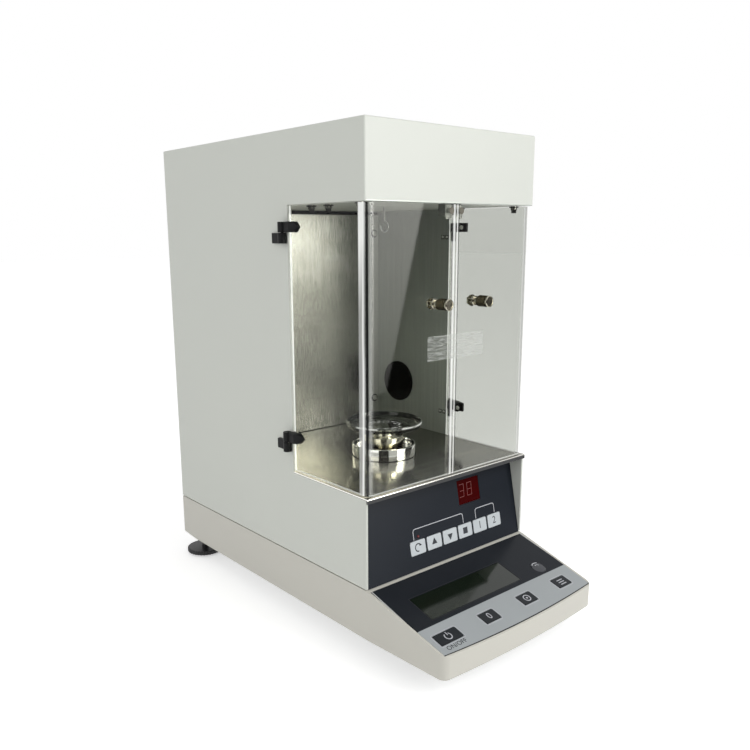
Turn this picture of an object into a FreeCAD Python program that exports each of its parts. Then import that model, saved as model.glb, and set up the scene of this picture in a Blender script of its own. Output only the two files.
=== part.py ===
import FreeCAD, Part
import math
import os
from types import SimpleNamespace

import Sketcher

# Surface tensiometer: a weighing chamber with two wraparound doors over a motor-driven sample stage.
# Frame: origin on the bench under the middle of the whole instrument, +X to its right as the user
# faces it, +Y to its back, +Z up.  Pieces are drawn from the front face of the housing, where y = 0,
# and each one's Placement then moves it back or forward into the part's own frame.

DOC = FreeCAD.newDocument("surface_tensiometer")
SHEET = DOC.addObject("Spreadsheet::Sheet", "Sizes")

# Driving dimensions, in millimetres and degrees.
SIZES = {
    # housing
    "case_width": 215.0,
    "case_depth": 342.0,
    "seam_height": 68.5,
    "keypad_height": 84.1,
    "chamber_height": 251.1,
    "hood_height": 64.8,
    "seam_gap": 1.2,
    "cover_sheet": 2.0,
    "cover_bend": 1.5,
    "door_opening": 107.3,
    "chamber_depth": 224.6,
    # base
    "base_underside": 20.0,
    "base_wall": 3.0,
    "deck": 3.0,
    "console_slope": 15.6,
    "console_reach": 91.7,
    "console_bow": 4.5,
    "nose_narrowing": 3.6,
    "nose_radius": 8.0,
    "rim_radius": 2.4,
    "heel_rise": 2.0,
    "heel_length": 26.0,
    "tongue_height": 5.0,
    "tongue_wall": 2.5,
    "tongue_start": 8.0,
    "base_plate_sheet": 1.5,
    "base_plate_recess": 1.0,
    # fits
    "fit_gap": 0.3,
    "running_gap": 0.05,
    "edge_break": 0.5,
    # rear
    "rear_sheet": 2.0,
    "vent_width": 60.0,
    "vent_height": 3.0,
    "vent_pitch": 9.0,
    "vent_drop": 138.5,
    "vent_count": 8.0,
    "inlet_x": -60.0,
    "inlet_rise": 34.3,
    "inlet_wall": 2.0,
    "inlet_flange": 3.0,
    "inlet_flange_border": 4.0,
    "inlet_depth": 24.0,
    "inlet_socket_width": 24.0,
    "inlet_socket_height": 16.6,
    "inlet_socket_depth": 16.0,
    "blade_spacing": 7.0,
    "blade_width": 2.0,
    "rocker_x": -34.0,
    "rocker_width": 13.0,
    "rocker_height": 19.0,
    "rocker_depth": 5.0,
    "rocker_crown": 0.8,
    "rocker_swing_gap": 0.9,
    "rocker_pivot_depth": 3.0,
    "rocker_pivot_radius": 1.2,
    "rocker_pivot_length": 1.2,
    "serial_x": 38.0,
    "serial_width": 31.0,
    "serial_height": 12.6,
    "serial_flange": 1.2,
    "serial_ear": 5.0,
    "serial_border": 1.0,
    "serial_proud": 1.0,
    # chamber sheets
    "floor_sheet": 1.5,
    "floor_bend": 1.2,
    "floor_overhang": 2.0,
    "floor_lip": 4.5,
    "wall_sheet": 1.2,
    "wall_top_gap": 1.5,
    "port_inset": 37.6,
    "port_rise": 51.4,
    "port_radius": 21.5,
    "port_flange_radius": 23.5,
    "port_flange": 2.2,
    # keypad panel
    "panel_lean": 11.4,
    "panel_setback": 0.5,
    "panel_overlay": 0.5,
    "panel_plate": 1.5,
    "panel_key_width": 19.2,
    "panel_key_height": 13.2,
    "panel_key_pitch": 21.8,
    "panel_key_first_x": -39.6,
    "panel_key_up": 21.6,
    "key_corner": 1.5,
    "key_proud": 0.5,
    "key_travel": 0.4,
    "key_flange": 1.0,
    "dome_radius": 3.0,
    "dome_height": 1.4,
    "board_sheet": 1.6,
    "post_radius_small": 2.0,
    "post_inset": 4.0,
    "board_margin": 2.0,
    "led_x": 38.0,
    "led_up": 59.5,
    "led_width": 30.6,
    "led_height": 24.0,
    "led_window_depth": 1.6,
    "window_sink": 0.2,
    # console
    "overlay_sheet": 0.8,
    "overlay_top": 2.9,
    "overlay_rim": 1.6,
    "overlay_bow": 4.3,
    "overlay_side": 2.5,
    "overlay_gap": 0.3,
    "lcd_left": -79.5,
    "lcd_right": 40.5,
    "lcd_top": 27.0,
    "lcd_bottom": 56.0,
    "lcd_border": 3.5,
    "lcd_module_depth": 4.0,
    "console_key_rise": 15.4,
    "console_key_height": 12.3,
    "console_key_width": 19.0,
    "power_key_width": 26.6,
    "power_key_inset": 25.3,
    "console_key_pitch": 52.75,
    "console_key_first_x": -29.5,
    "level_x": 73.5,
    "level_down": 52.0,
    "level_radius": 7.5,
    "level_height": 7.0,
    # doors
    "door_sheet": 3.0,
    "door_inset": 2.0,
    "door_front_inset": 0.5,
    "door_bend": 8.0,
    "door_clearance": 0.8,
    "door_seam_gap": 0.8,
    "hinge_offset": 4.3,
    "hinge_setback": 2.7,
    "knuckle_radius": 4.0,
    "hinge_pin_radius": 1.5,
    "leaf_height": 9.4,
    "leaf_gap": 0.4,
    "leaf_sheet": 3.0,
    "leaf_reach": 21.3,
    "leaf_shoulder": 9.0,
    "leaf_arm": 1.6,
    "clamp_length": 12.0,
    "case_leaf_reach": 18.5,
    "hinge_drop": 14.8,
    "hinge_rise": 30.4,
    "knob_x": 26.5,
    "knob_rise": 162.9,
    "knob_radius": 5.3,
    "knob_length": 14.0,
    "knob_neck_radius": 3.2,
    "knob_neck": 3.5,
    "knob_rim": 0.8,
    "knob_collar_radius": 4.6,
    "knob_collar": 1.5,
    "knob_stud_radius": 2.0,
    "knob_nut_radius": 4.5,
    "knob_nut": 3.0,
    "strike_width": 8.2,
    "strike_height": 12.0,
    "strike_sheet": 1.2,
    "strike_from_seam": 1.8,
    "catch_depth": 8.0,
    "catch_height": 10.0,
    # stage
    "stage_y": 96.5,
    "cup_radius": 32.7,
    "cup_wall": 2.8,
    "cup_height": 12.2,
    "cup_bottom": 1.0,
    "step_radius": 20.0,
    "step_height": 15.9,
    "post_radius": 13.0,
    "post_height": 11.2,
    "stem_radius": 8.0,
    "stem_bore": 5.0,
    "dish_radius": 39.0,
    "dish_base_radius": 36.0,
    "dish_height": 8.0,
    "dish_wall": 2.0,
    "dish_gap": 0.1,
    "screw_radius": 4.0,
    "screw_headroom": 6.6,
    "carriage_rise": 13.5,
    "carriage_height": 10.0,
    "carriage_width": 78.0,
    "carriage_depth": 26.0,
    "rod_spacing": 60.0,
    "rod_radius": 4.0,
    "frame_sheet": 4.0,
    "frame_width": 92.0,
    "frame_depth": 46.0,
    "motor_side": 42.3,
    "motor_clearance": 4.9,
    "motor_corner": 4.0,
    "motor_boss_radius": 11.0,
    "motor_boss": 5.0,
    # weigh cell and hook
    "hook_hole_radius": 7.0,
    "hook_rod_radius": 1.0,
    "hook_inner_radius": 4.0,
    "hook_drop": 24.0,
    "hook_turn": 285.0,
    "beam_gap": 3.1,
    "beam_height": 7.0,
    "beam_width": 16.0,
    "cell_reach": 73.5,
    "pot_radius": 24.0,
    "pot_height": 16.0,
    "cell_post": 26.0,
    # boards and transformer
    "main_board_inset": 65.5,
    "main_board_back": 56.0,
    "main_board_width": 96.0,
    "main_board_length": 88.0,
    "main_board_height": 12.0,
    "standoff_radius": 3.0,
    "standoff_inset": 6.0,
    "chip_width": 28.0,
    "chip_height": 3.2,
    "transformer_inset": 51.5,
    "transformer_back": 60.0,
    "transformer_width": 58.0,
    "transformer_depth": 48.0,
    "transformer_height": 46.0,
    "coil_bulge": 8.0,
    "coil_width": 34.0,
    # feet
    "foot_inset": 15.0,
    "foot_back": 22.0,
    "foot_wheel_radius": 21.0,
    "foot_wheel_height": 5.0,
    "foot_pad_radius": 14.0,
    "foot_pad_height": 2.0,
    "foot_stud_radius": 4.0,
    "foot_stud_length": 30.0,
    "foot_boss_radius": 9.0,
    "foot_boss_sink": 4.0,
    "foot_bore_spare": 10.0,
    "foot_rim": 0.8,
    "stud_clearance": 2.0,
    "front_foot_inset": 47.5,
    "front_foot_back": 58.7,
    "front_foot_radius": 11.0,
    "front_foot_taper": 1.5,
    # screws
    "screw_head_radius": 3.0,
    "screw_head": 1.8,
    "wall_screw_inset": 7.0,
    "rear_screw_inset": 18.0,
    "wall_screw_drop": 24.7,
    "wall_screw_rise": 25.9,
    "stop_bolt_front": 16.0,
    "stop_bolt_inset": 22.0,
    "stop_bolt_y": 75.0,
    "stop_bolt_pitch": 25.0,
    "stop_nut_radius": 3.0,
    "stop_nut": 3.0,
    "stop_bolt_radius": 1.8,
    "stop_bolt_length": 6.0,
}

OVERRUN = 5.0       # how far a cutting outline runs past the solid that it cuts
SQUARE_EDGE = 1e-4  # how closely an edge has to follow an axis to be picked for a fillet


class Size:
    """A length or angle that knows its formula on the sheet and its present value."""

    def __init__(self, formula, value):
        self.formula = formula
        self.value = value

    def joined(self, other, sign, flip=False):
        left, right = (as_size(other), self) if flip else (self, as_size(other))
        amounts = {
            "+": lambda: left.value + right.value,
            "-": lambda: left.value - right.value,
            "*": lambda: left.value * right.value,
            "/": lambda: left.value / right.value,
        }
        return Size(f"({left.formula} {sign} {right.formula})", amounts[sign]())

    def __add__(self, other):
        return self.joined(other, "+")

    def __radd__(self, other):
        return self.joined(other, "+", flip=True)

    def __sub__(self, other):
        return self.joined(other, "-")

    def __rsub__(self, other):
        return self.joined(other, "-", flip=True)

    def __mul__(self, other):
        return self.joined(other, "*")

    def __rmul__(self, other):
        return self.joined(other, "*", flip=True)

    def __truediv__(self, other):
        return self.joined(other, "/")

    def __neg__(self):
        return 0 - self


def as_size(amount):
    return amount if isinstance(amount, Size) else Size(f"{amount:g}", float(amount))


def sine(angle):
    return Size(f"sin({angle.formula})", math.sin(math.radians(angle.value)))


def cosine(angle):
    return Size(f"cos({angle.formula})", math.cos(math.radians(angle.value)))


def tangent(angle):
    return sine(angle) / cosine(angle)


for row, (word, number) in enumerate(SIZES.items(), start=1):
    SHEET.set(f"A{row}", word)
    SHEET.set(f"B{row}", str(number))
    SHEET.setAlias(f"B{row}", word)
DOC.recompute()
S = SimpleNamespace(**{word: Size(f"Sizes.{word}", number) for word, number in SIZES.items()})

# Places that several pieces share.
HALF = S.case_width / 2
INNER_HALF = HALF - S.cover_sheet
COVER_BOTTOM = S.seam_height + S.seam_gap
FLOOR_UNDERSIDE = S.seam_height + S.keypad_height
FLOOR_TOP = FLOOR_UNDERSIDE + S.floor_sheet
HOOD_UNDERSIDE = FLOOR_UNDERSIDE + S.chamber_height
CASE_TOP = HOOD_UNDERSIDE + S.hood_height
NOSE_REACH = S.console_reach + S.console_bow
DECK_UNDERSIDE = S.seam_height - S.deck / cosine(S.console_slope)
CENTRE_Y = (S.case_depth + S.inlet_flange - NOSE_REACH) / 2
REAR_INSIDE = S.case_depth - S.rear_sheet
INLET_Z = COVER_BOTTOM + S.inlet_rise
PANEL_LENGTH = S.keypad_height / cosine(S.panel_lean)
OVERLAY_BOTTOM = S.console_reach / cosine(S.console_slope) - S.overlay_rim
CONSOLE_KEY_DOWN = OVERLAY_BOTTOM - S.console_key_rise
HINGE_X = HALF + S.hinge_offset
HINGE_Y = S.door_opening + S.hinge_setback
HINGE_LEVELS = (HOOD_UNDERSIDE - S.hinge_drop - S.leaf_height, FLOOR_TOP + S.hinge_rise)
DOOR_OUTER = HALF - S.door_inset
DOOR_BOTTOM = FLOOR_TOP + S.door_clearance
DOOR_TOP = HOOD_UNDERSIDE - S.door_clearance
DOOR_BACK = S.door_front_inset + S.door_sheet
KNOB_Z = FLOOR_TOP + S.knob_rise
CELL_Y = S.stage_y + S.cell_reach
BEAM_BOTTOM = HOOD_UNDERSIDE + S.wall_sheet + S.pot_height + S.beam_gap
FOOT_X = HALF - S.foot_inset
FOOT_Y = S.case_depth - S.foot_back
FOOT_BOSS_BOTTOM = S.base_underside + S.foot_boss_sink
FOOT_STUD_TOP = S.base_underside + S.foot_stud_length

PARTS = []          # every sub-part, in the order in which it is made


# ---------------------------------------------------------------- drawing helpers


def bind(thing, place, amount):
    thing.setExpression(place, as_size(amount).formula)


def spot(x, y):
    return FreeCAD.Vector(as_size(x).value, as_size(y).value, 0)


def new_body(label):
    body = DOC.addObject("PartDesign::Body", label)
    body.Label = label
    return body


def new_sketch(body, plane, lift=0):
    """A sketch on one of the body's own origin planes, lifted along the plane's normal."""
    sketch = body.newObject("Sketcher::SketchObject", f"{body.Name}_sketch")
    support = [feature for feature in body.Origin.OriginFeatures if feature.Role == plane][0]
    sketch.AttachmentSupport = [(support, "")]
    sketch.MapMode = "FlatFace"
    bind(sketch, "AttachmentOffset.Base.z", lift)
    return sketch


def front_sketch(body, y):
    """A sketch across the part at y, seen from the front: pads come forward, pockets go back."""
    return new_sketch(body, "XZ_Plane", 0 - as_size(y))


def slope_sketch(body):
    """A sketch on the console's sloping face, with its own y = 0 at the seam."""
    sketch = new_sketch(body, "XY_Plane", S.seam_height)
    sketch.AttachmentOffset = FreeCAD.Placement(
        sketch.AttachmentOffset.Base, FreeCAD.Rotation(FreeCAD.Vector(1, 0, 0), S.console_slope.value))
    bind(sketch, "AttachmentOffset.Rotation.Angle", S.console_slope)
    return sketch


def pin(sketch, geometry, end, x, y):
    """Tie a point of the sketch to its place from the origin."""
    for kind, amount in (("DistanceX", x), ("DistanceY", y)):
        place = as_size(amount)
        number = sketch.addConstraint(Sketcher.Constraint(kind, -1, 1, geometry, end, place.value))
        sketch.setExpression(f"Constraints[{number}]", place.formula)


def draw_outline(sketch, points, bows=()):
    """A closed outline.  bows gives, for an edge's number, how far it bows out to its right."""
    bows = dict(bows)
    count = len(points)
    first = sketch.GeometryCount
    for number, (x, y) in enumerate(points):
        start = spot(x, y)
        end = spot(*points[(number + 1) % count])
        if number in bows:
            across = end - start
            side = FreeCAD.Vector(across.y, -across.x, 0).normalize()
            middle = (start + end) * 0.5 + side * bows[number].value
            sketch.addGeometry(Part.Arc(start, middle, end), False)
        else:
            sketch.addGeometry(Part.LineSegment(start, end), False)
    ends = {}
    for number in range(count):
        start = spot(*points[number])
        starts_here = (sketch.getPoint(first + number, 1) - start).Length < SQUARE_EDGE
        ends[number] = (1, 2) if starts_here else (2, 1)
    for number in range(count):
        following = (number + 1) % count
        sketch.addConstraint(Sketcher.Constraint(
            "Coincident", first + number, ends[number][1], first + following, ends[following][0]))
    for number, (x, y) in enumerate(points):
        pin(sketch, first + number, ends[number][0], x, y)
    for number, rise in bows.items():
        half_chord = (as_size(points[(number + 1) % count][0]) - points[number][0]) / 2
        radius = (half_chord * half_chord + rise * rise) / (2 * rise)
        constraint = sketch.addConstraint(
            Sketcher.Constraint("Radius", first + number, radius.value))
        sketch.setExpression(f"Constraints[{constraint}]", radius.formula)


def draw_rectangle(sketch, left, bottom, right, top):
    draw_outline(sketch, [(left, bottom), (right, bottom), (right, top), (left, top)])


def draw_circle(sketch, x, y, radius):
    number = sketch.addGeometry(
        Part.Circle(spot(x, y), FreeCAD.Vector(0, 0, 1), as_size(radius).value), False)
    pin(sketch, number, 3, x, y)
    constraint = sketch.addConstraint(
        Sketcher.Constraint("Radius", number, as_size(radius).value))
    sketch.setExpression(f"Constraints[{constraint}]", as_size(radius).formula)


def pad(body, sketch, length, symmetric=False):
    feature = body.newObject("PartDesign::Pad", f"{body.Name}_pad")
    feature.Profile = sketch
    if symmetric:
        feature.SideType = "Symmetric"
    bind(feature, "Length", length)
    DOC.recompute()
    return feature


def pocket(body, sketch, depth, symmetric=False, along_normal=False):
    """Cut the sketch into the body, against its normal by default, and make sure it cut."""
    before = body.Tip.Shape.Volume
    feature = body.newObject("PartDesign::Pocket", f"{body.Name}_pocket")
    feature.Profile = sketch
    if symmetric:
        feature.SideType = "Symmetric"
    feature.Reversed = along_normal
    bind(feature, "Length", depth)
    DOC.recompute()
    if feature.Shape.Volume >= before:
        raise RuntimeError(f"{feature.Name} cuts nothing")
    return feature


def round_edges(body, radius, wanted):
    """Fillet those edges of the body whose middle and direction the test wanted accepts."""
    base = body.Tip
    names = []
    for number, edge in enumerate(base.Shape.Edges, start=1):
        middle = edge.valueAt((edge.FirstParameter + edge.LastParameter) / 2)
        if wanted(middle, edge.tangentAt(edge.FirstParameter)):
            names.append(f"Edge{number}")
    feature = body.newObject("PartDesign::Fillet", f"{body.Name}_fillet")
    feature.Base = (base, names)
    bind(feature, "Radius", radius)
    DOC.recompute()
    return feature


def along(direction, axis):
    """Whether a direction runs along X, Y or Z, given as 0, 1 or 2."""
    return abs(abs(direction[axis]) - 1) < SQUARE_EDGE


def turned(label, section):
    """A body turned about its own Z axis from (radius, height) points."""
    body = new_body(label)
    sketch = new_sketch(body, "XZ_Plane")
    draw_outline(sketch, section)
    feature = body.newObject("PartDesign::Revolution", f"{label}_turning")
    feature.Profile = sketch
    feature.ReferenceAxis = (sketch, ["V_Axis"])
    feature.Angle = 360
    DOC.recompute()
    return body


def place(thing, x=0, y=0, z=0, axis=None, angle=None):
    """Set the thing's Placement from its place in the case's frame, where y = 0 is the front."""
    if axis is not None:
        thing.Placement = FreeCAD.Placement(
            FreeCAD.Vector(), FreeCAD.Rotation(FreeCAD.Vector(*axis), as_size(angle).value))
        bind(thing, "Placement.Rotation.Angle", angle)
    bind(thing, "Placement.Base.x", x)
    bind(thing, "Placement.Base.y", y - CENTRE_Y)
    bind(thing, "Placement.Base.z", z)


def finish(thing, *where, **turn):
    """Place a sub-part and put it on the list of those to be written."""
    place(thing, *where, **turn)
    PARTS.append(thing)
    return thing


def on_console(thing):
    """Place a piece that is drawn flat on the console's slope, with -y running down the slope."""
    return finish(thing, 0, 0, S.seam_height, axis=(1, 0, 0), angle=S.console_slope)


def on_panel(thing):
    """Place a piece that is drawn flat on the keypad panel, with +y running up the panel."""
    return finish(thing, 0, S.panel_setback, S.seam_height, axis=(1, 0, 0), angle=90 - S.panel_lean)


def block(label, low, high):
    """A plain box between two corners, as a body."""
    body = new_body(label)
    sketch = new_sketch(body, "XY_Plane", low[2])
    draw_rectangle(sketch, low[0], low[1], high[0], high[1])
    pad(body, sketch, high[2] - low[2])
    return body


def group(label, members):
    """One sub-part made of several separate solids, given as (body, x, y, z, axis, angle)."""
    solids = []
    for body, x, y, z, axis, angle in members:
        solid = body.Shape.copy()
        turn = FreeCAD.Rotation(FreeCAD.Vector(*axis), as_size(angle).value)
        where = FreeCAD.Vector(as_size(x).value, as_size(y).value, as_size(z).value)
        solid.Placement = FreeCAD.Placement(where, turn).multiply(solid.Placement)
        solids.append(solid)
    feature = DOC.addObject("Part::Feature", label)
    feature.Label = label
    feature.Shape = Part.makeCompound(solids)
    return finish(feature)


# ---------------------------------------------------------------- base


def make_base_shell():
    body = new_body("base_shell")
    side = new_sketch(body, "YZ_Plane")
    nose_top = S.seam_height - NOSE_REACH * tangent(S.console_slope)
    draw_outline(side, [
        (-NOSE_REACH, S.base_underside),
        (S.case_depth - S.heel_length, S.base_underside),
        (S.case_depth, S.base_underside + S.heel_rise),
        (S.case_depth, S.seam_height),
        (0, S.seam_height),
        (-NOSE_REACH, nose_top),
    ])
    pad(body, side, S.case_width, symmetric=True)

    nose_half = HALF - S.nose_narrowing
    outside = new_sketch(body, "XY_Plane", S.seam_height + OVERRUN)
    draw_outline(outside, [
        (-nose_half, -S.console_reach),
        (nose_half, -S.console_reach),
        (HALF, 0),
        (HALF + OVERRUN, 0),
        (HALF + OVERRUN, -NOSE_REACH - OVERRUN),
        (-HALF - OVERRUN, -NOSE_REACH - OVERRUN),
        (-HALF - OVERRUN, 0),
        (-HALF, 0),
    ], bows=[(0, S.console_bow)])
    pocket(body, outside, S.seam_height - S.base_underside + 2 * OVERRUN)

    nose_y = -S.console_reach.value
    round_edges(body, S.nose_radius, lambda middle, run: along(run, 2) and middle.y < nose_y + 1)
    bottom = S.base_underside.value
    round_edges(body, S.rim_radius, lambda middle, run: (
        abs(middle.z - bottom) < SQUARE_EDGE and middle.y < nose_y + S.nose_radius.value))

    hollow = new_sketch(body, "YZ_Plane")
    slope_drop = (S.console_reach - S.base_wall) * tangent(S.console_slope)
    draw_outline(hollow, [
        (-S.console_reach + S.base_wall, S.base_underside - OVERRUN),
        (S.case_depth - S.base_wall, S.base_underside - OVERRUN),
        (S.case_depth - S.base_wall, DECK_UNDERSIDE),
        (0, DECK_UNDERSIDE),
        (-S.console_reach + S.base_wall, DECK_UNDERSIDE - slope_drop),
    ])
    hollow_width = S.case_width - 2 * (S.base_wall + S.nose_narrowing)
    pocket(body, hollow, hollow_width, symmetric=True)

    tongue_half = INNER_HALF - S.fit_gap
    tongue_end = REAR_INSIDE - S.fit_gap
    tongue = new_sketch(body, "XY_Plane", S.seam_height)
    draw_rectangle(tongue, -tongue_half, S.tongue_start, tongue_half, tongue_end)
    inner = S.tongue_wall
    draw_rectangle(tongue, -tongue_half + inner, S.tongue_start + inner,
                   tongue_half - inner, tongue_end - inner)
    pad(body, tongue, S.tongue_height)

    bosses = new_sketch(body, "XY_Plane", FOOT_BOSS_BOTTOM)
    for side_sign in (-1, 1):
        draw_circle(bosses, side_sign * FOOT_X, FOOT_Y, S.foot_boss_radius)
    pad(body, bosses, DECK_UNDERSIDE + S.deck / 2 - FOOT_BOSS_BOTTOM)
    bores = new_sketch(body, "XY_Plane", FOOT_BOSS_BOTTOM)
    for side_sign in (-1, 1):
        draw_circle(bores, side_sign * FOOT_X, FOOT_Y, S.foot_stud_radius + S.running_gap)
    bore_depth = FOOT_STUD_TOP + S.foot_bore_spare - FOOT_BOSS_BOTTOM
    pocket(body, bores, bore_depth, along_normal=True)

    motor_hole = new_sketch(body, "XY_Plane", S.seam_height)
    draw_circle(motor_hole, 0, S.stage_y, S.motor_boss_radius + S.fit_gap)
    pocket(body, motor_hole, 2 * S.deck)

    recess = slope_sketch(body)
    draw_overlay_outline(recess, S.overlay_gap)
    pocket(body, recess, S.overlay_sheet)

    openings = slope_sketch(body)
    draw_console_openings(openings, S.fit_gap)
    pocket(body, openings, 2 * S.deck)
    return finish(body)


def draw_overlay_outline(sketch, grow):
    top_half = HALF - S.overlay_side
    bottom_half = top_half - S.nose_narrowing
    draw_outline(sketch, [
        (-bottom_half - grow, -OVERLAY_BOTTOM - grow),
        (bottom_half + grow, -OVERLAY_BOTTOM - grow),
        (top_half + grow, -S.overlay_top + grow),
        (-top_half - grow, -S.overlay_top + grow),
    ], bows=[(0, S.overlay_bow)])


def console_keys():
    """The name, middle and width of each console key."""
    keys = [("power_key", S.power_key_inset - HALF, S.power_key_width)]
    for number, name in enumerate(("tare_key", "adjust_key", "mode_key")):
        middle = S.console_key_first_x + number * S.console_key_pitch
        keys.append((name, middle, S.console_key_width))
    return keys


def draw_console_openings(sketch, grow):
    draw_rectangle(sketch, S.lcd_left - grow, -S.lcd_bottom - grow,
                   S.lcd_right + grow, -S.lcd_top + grow)
    half_height = S.console_key_height / 2 + grow
    for _, middle, width in console_keys():
        draw_rectangle(sketch, middle - width / 2 - grow, -CONSOLE_KEY_DOWN - half_height,
                       middle + width / 2 + grow, -CONSOLE_KEY_DOWN + half_height)
    draw_circle(sketch, S.level_x, -S.level_down, S.level_radius + grow)


def make_base_plate():
    body = new_body("base_plate")
    sketch = new_sketch(body, "XY_Plane", S.base_underside + S.base_plate_recess)
    half = HALF - S.nose_narrowing - S.base_wall - S.fit_gap
    draw_rectangle(sketch, -half, -S.console_reach + S.base_wall + S.fit_gap,
                   half, S.case_depth - S.base_wall - S.fit_gap)
    for side_sign in (-1, 1):
        draw_circle(sketch, side_sign * FOOT_X, FOOT_Y, S.foot_stud_radius + S.stud_clearance)
    pad(body, sketch, S.base_plate_sheet)
    return finish(body)


def make_front_feet():
    height = S.base_underside + S.base_plate_recess
    waist = S.front_foot_radius - S.front_foot_taper
    master = turned("front_foot_master", [
        (0, 0), (waist, 0), (S.front_foot_radius, S.front_foot_taper), (waist, height), (0, height)])
    return group("front_feet", [
        (master, side_sign * (HALF - S.front_foot_inset),
         S.front_foot_back - S.console_reach, 0, (0, 0, 1), 0)
        for side_sign in (-1, 1)])


def make_rear_foot(side, side_sign):
    pad_top = S.foot_pad_height
    rim = S.foot_rim
    foot_pad = turned(f"{side}_foot_pad", [
        (0, 0), (S.foot_pad_radius - rim, 0), (S.foot_pad_radius, rim),
        (S.foot_pad_radius, pad_top), (0, pad_top)])
    finish(foot_pad, side_sign * FOOT_X, FOOT_Y, 0)
    wheel_top = pad_top + S.foot_wheel_height
    wheel = turned(f"{side}_foot_wheel", [
        (0, pad_top), (S.foot_wheel_radius - rim, pad_top),
        (S.foot_wheel_radius, pad_top + rim), (S.foot_wheel_radius, wheel_top - rim),
        (S.foot_wheel_radius - rim, wheel_top), (S.foot_stud_radius, wheel_top),
        (S.foot_stud_radius, FOOT_STUD_TOP), (0, FOOT_STUD_TOP)])
    finish(wheel, side_sign * FOOT_X, FOOT_Y, 0)


# ---------------------------------------------------------------- housing


def make_housing_cover():
    body = new_body("housing_cover")
    silhouette = new_sketch(body, "YZ_Plane")
    draw_outline(silhouette, [
        (0, COVER_BOTTOM),
        (S.case_depth, COVER_BOTTOM),
        (S.case_depth, CASE_TOP),
        (0, CASE_TOP),
        (0, HOOD_UNDERSIDE),
        (S.door_opening, HOOD_UNDERSIDE),
        (S.door_opening, FLOOR_UNDERSIDE),
        (0, FLOOR_UNDERSIDE),
    ])
    pad(body, silhouette, S.case_width, symmetric=True)
    half, top = HALF.value, CASE_TOP.value
    round_edges(body, S.cover_bend, lambda middle, run: (
        (along(run, 1) and abs(middle.z - top) < SQUARE_EDGE)
        or (along(run, 0) and abs(middle.z - top) < SQUARE_EDGE and middle.y < 1)
        or (along(run, 2) and middle.y < SQUARE_EDGE and middle.z > HOOD_UNDERSIDE.value)))
    inside = new_sketch(body, "YZ_Plane")
    draw_outline(inside, [
        (-OVERRUN, COVER_BOTTOM - OVERRUN),
        (S.case_depth + OVERRUN, COVER_BOTTOM - OVERRUN),
        (S.case_depth + OVERRUN, CASE_TOP - S.cover_sheet),
        (S.cover_sheet, CASE_TOP - S.cover_sheet),
        (S.cover_sheet, FLOOR_UNDERSIDE + OVERRUN),
        (-OVERRUN, FLOOR_UNDERSIDE + OVERRUN),
    ])
    pocket(body, inside, S.case_width - 2 * S.cover_sheet, symmetric=True)
    port = new_sketch(body, "YZ_Plane", HALF + OVERRUN)
    draw_circle(port, S.chamber_depth - S.port_inset, FLOOR_TOP + S.port_rise, S.port_radius)
    pocket(body, port, OVERRUN + 2 * S.cover_sheet)
    return finish(body)


def make_port_plug():
    inner = S.cover_sheet + S.port_flange
    plug = turned("port_plug", [
        (0, -S.port_flange / 2), (S.port_flange_radius, -S.port_flange / 2),
        (S.port_flange_radius, 0), (S.port_radius - S.fit_gap, 0),
        (S.port_radius - S.fit_gap, S.cover_sheet), (S.port_flange_radius, S.cover_sheet),
        (S.port_flange_radius, inner), (0, inner)])
    return finish(plug, HALF, S.chamber_depth - S.port_inset, FLOOR_TOP + S.port_rise,
                  axis=(0, 1, 0), angle=-90)


def make_rear_panel():
    body = new_body("rear_panel")
    sketch = front_sketch(body, S.case_depth)
    half = INNER_HALF - S.fit_gap
    draw_rectangle(sketch, -half, COVER_BOTTOM, half, CASE_TOP - S.cover_sheet - S.fit_gap)
    draw_module_outline(sketch, S.fit_gap)
    half_width = S.serial_width / 2 - S.serial_ear
    half_height = S.serial_height / 2 - S.serial_border
    draw_rectangle(sketch, S.serial_x - half_width, INLET_Z - half_height,
                   S.serial_x + half_width, INLET_Z + half_height)
    pad(body, sketch, S.rear_sheet)
    vent_low = CASE_TOP - S.vent_drop
    slot = front_sketch(body, REAR_INSIDE - OVERRUN)
    draw_rectangle(slot, -S.vent_width / 2, vent_low,
                   S.vent_width / 2, vent_low + S.vent_height)
    first_slot = pocket(body, slot, 2 * OVERRUN + S.rear_sheet)
    pattern = body.newObject("PartDesign::LinearPattern", "vent_pattern")
    pattern.Originals = [first_slot]
    pattern.Direction = (slot, ["V_Axis"])
    bind(pattern, "Length", S.vent_pitch * (S.vent_count - 1))
    bind(pattern, "Occurrences", S.vent_count)
    body.Tip = pattern
    DOC.recompute()
    return finish(body)


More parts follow.
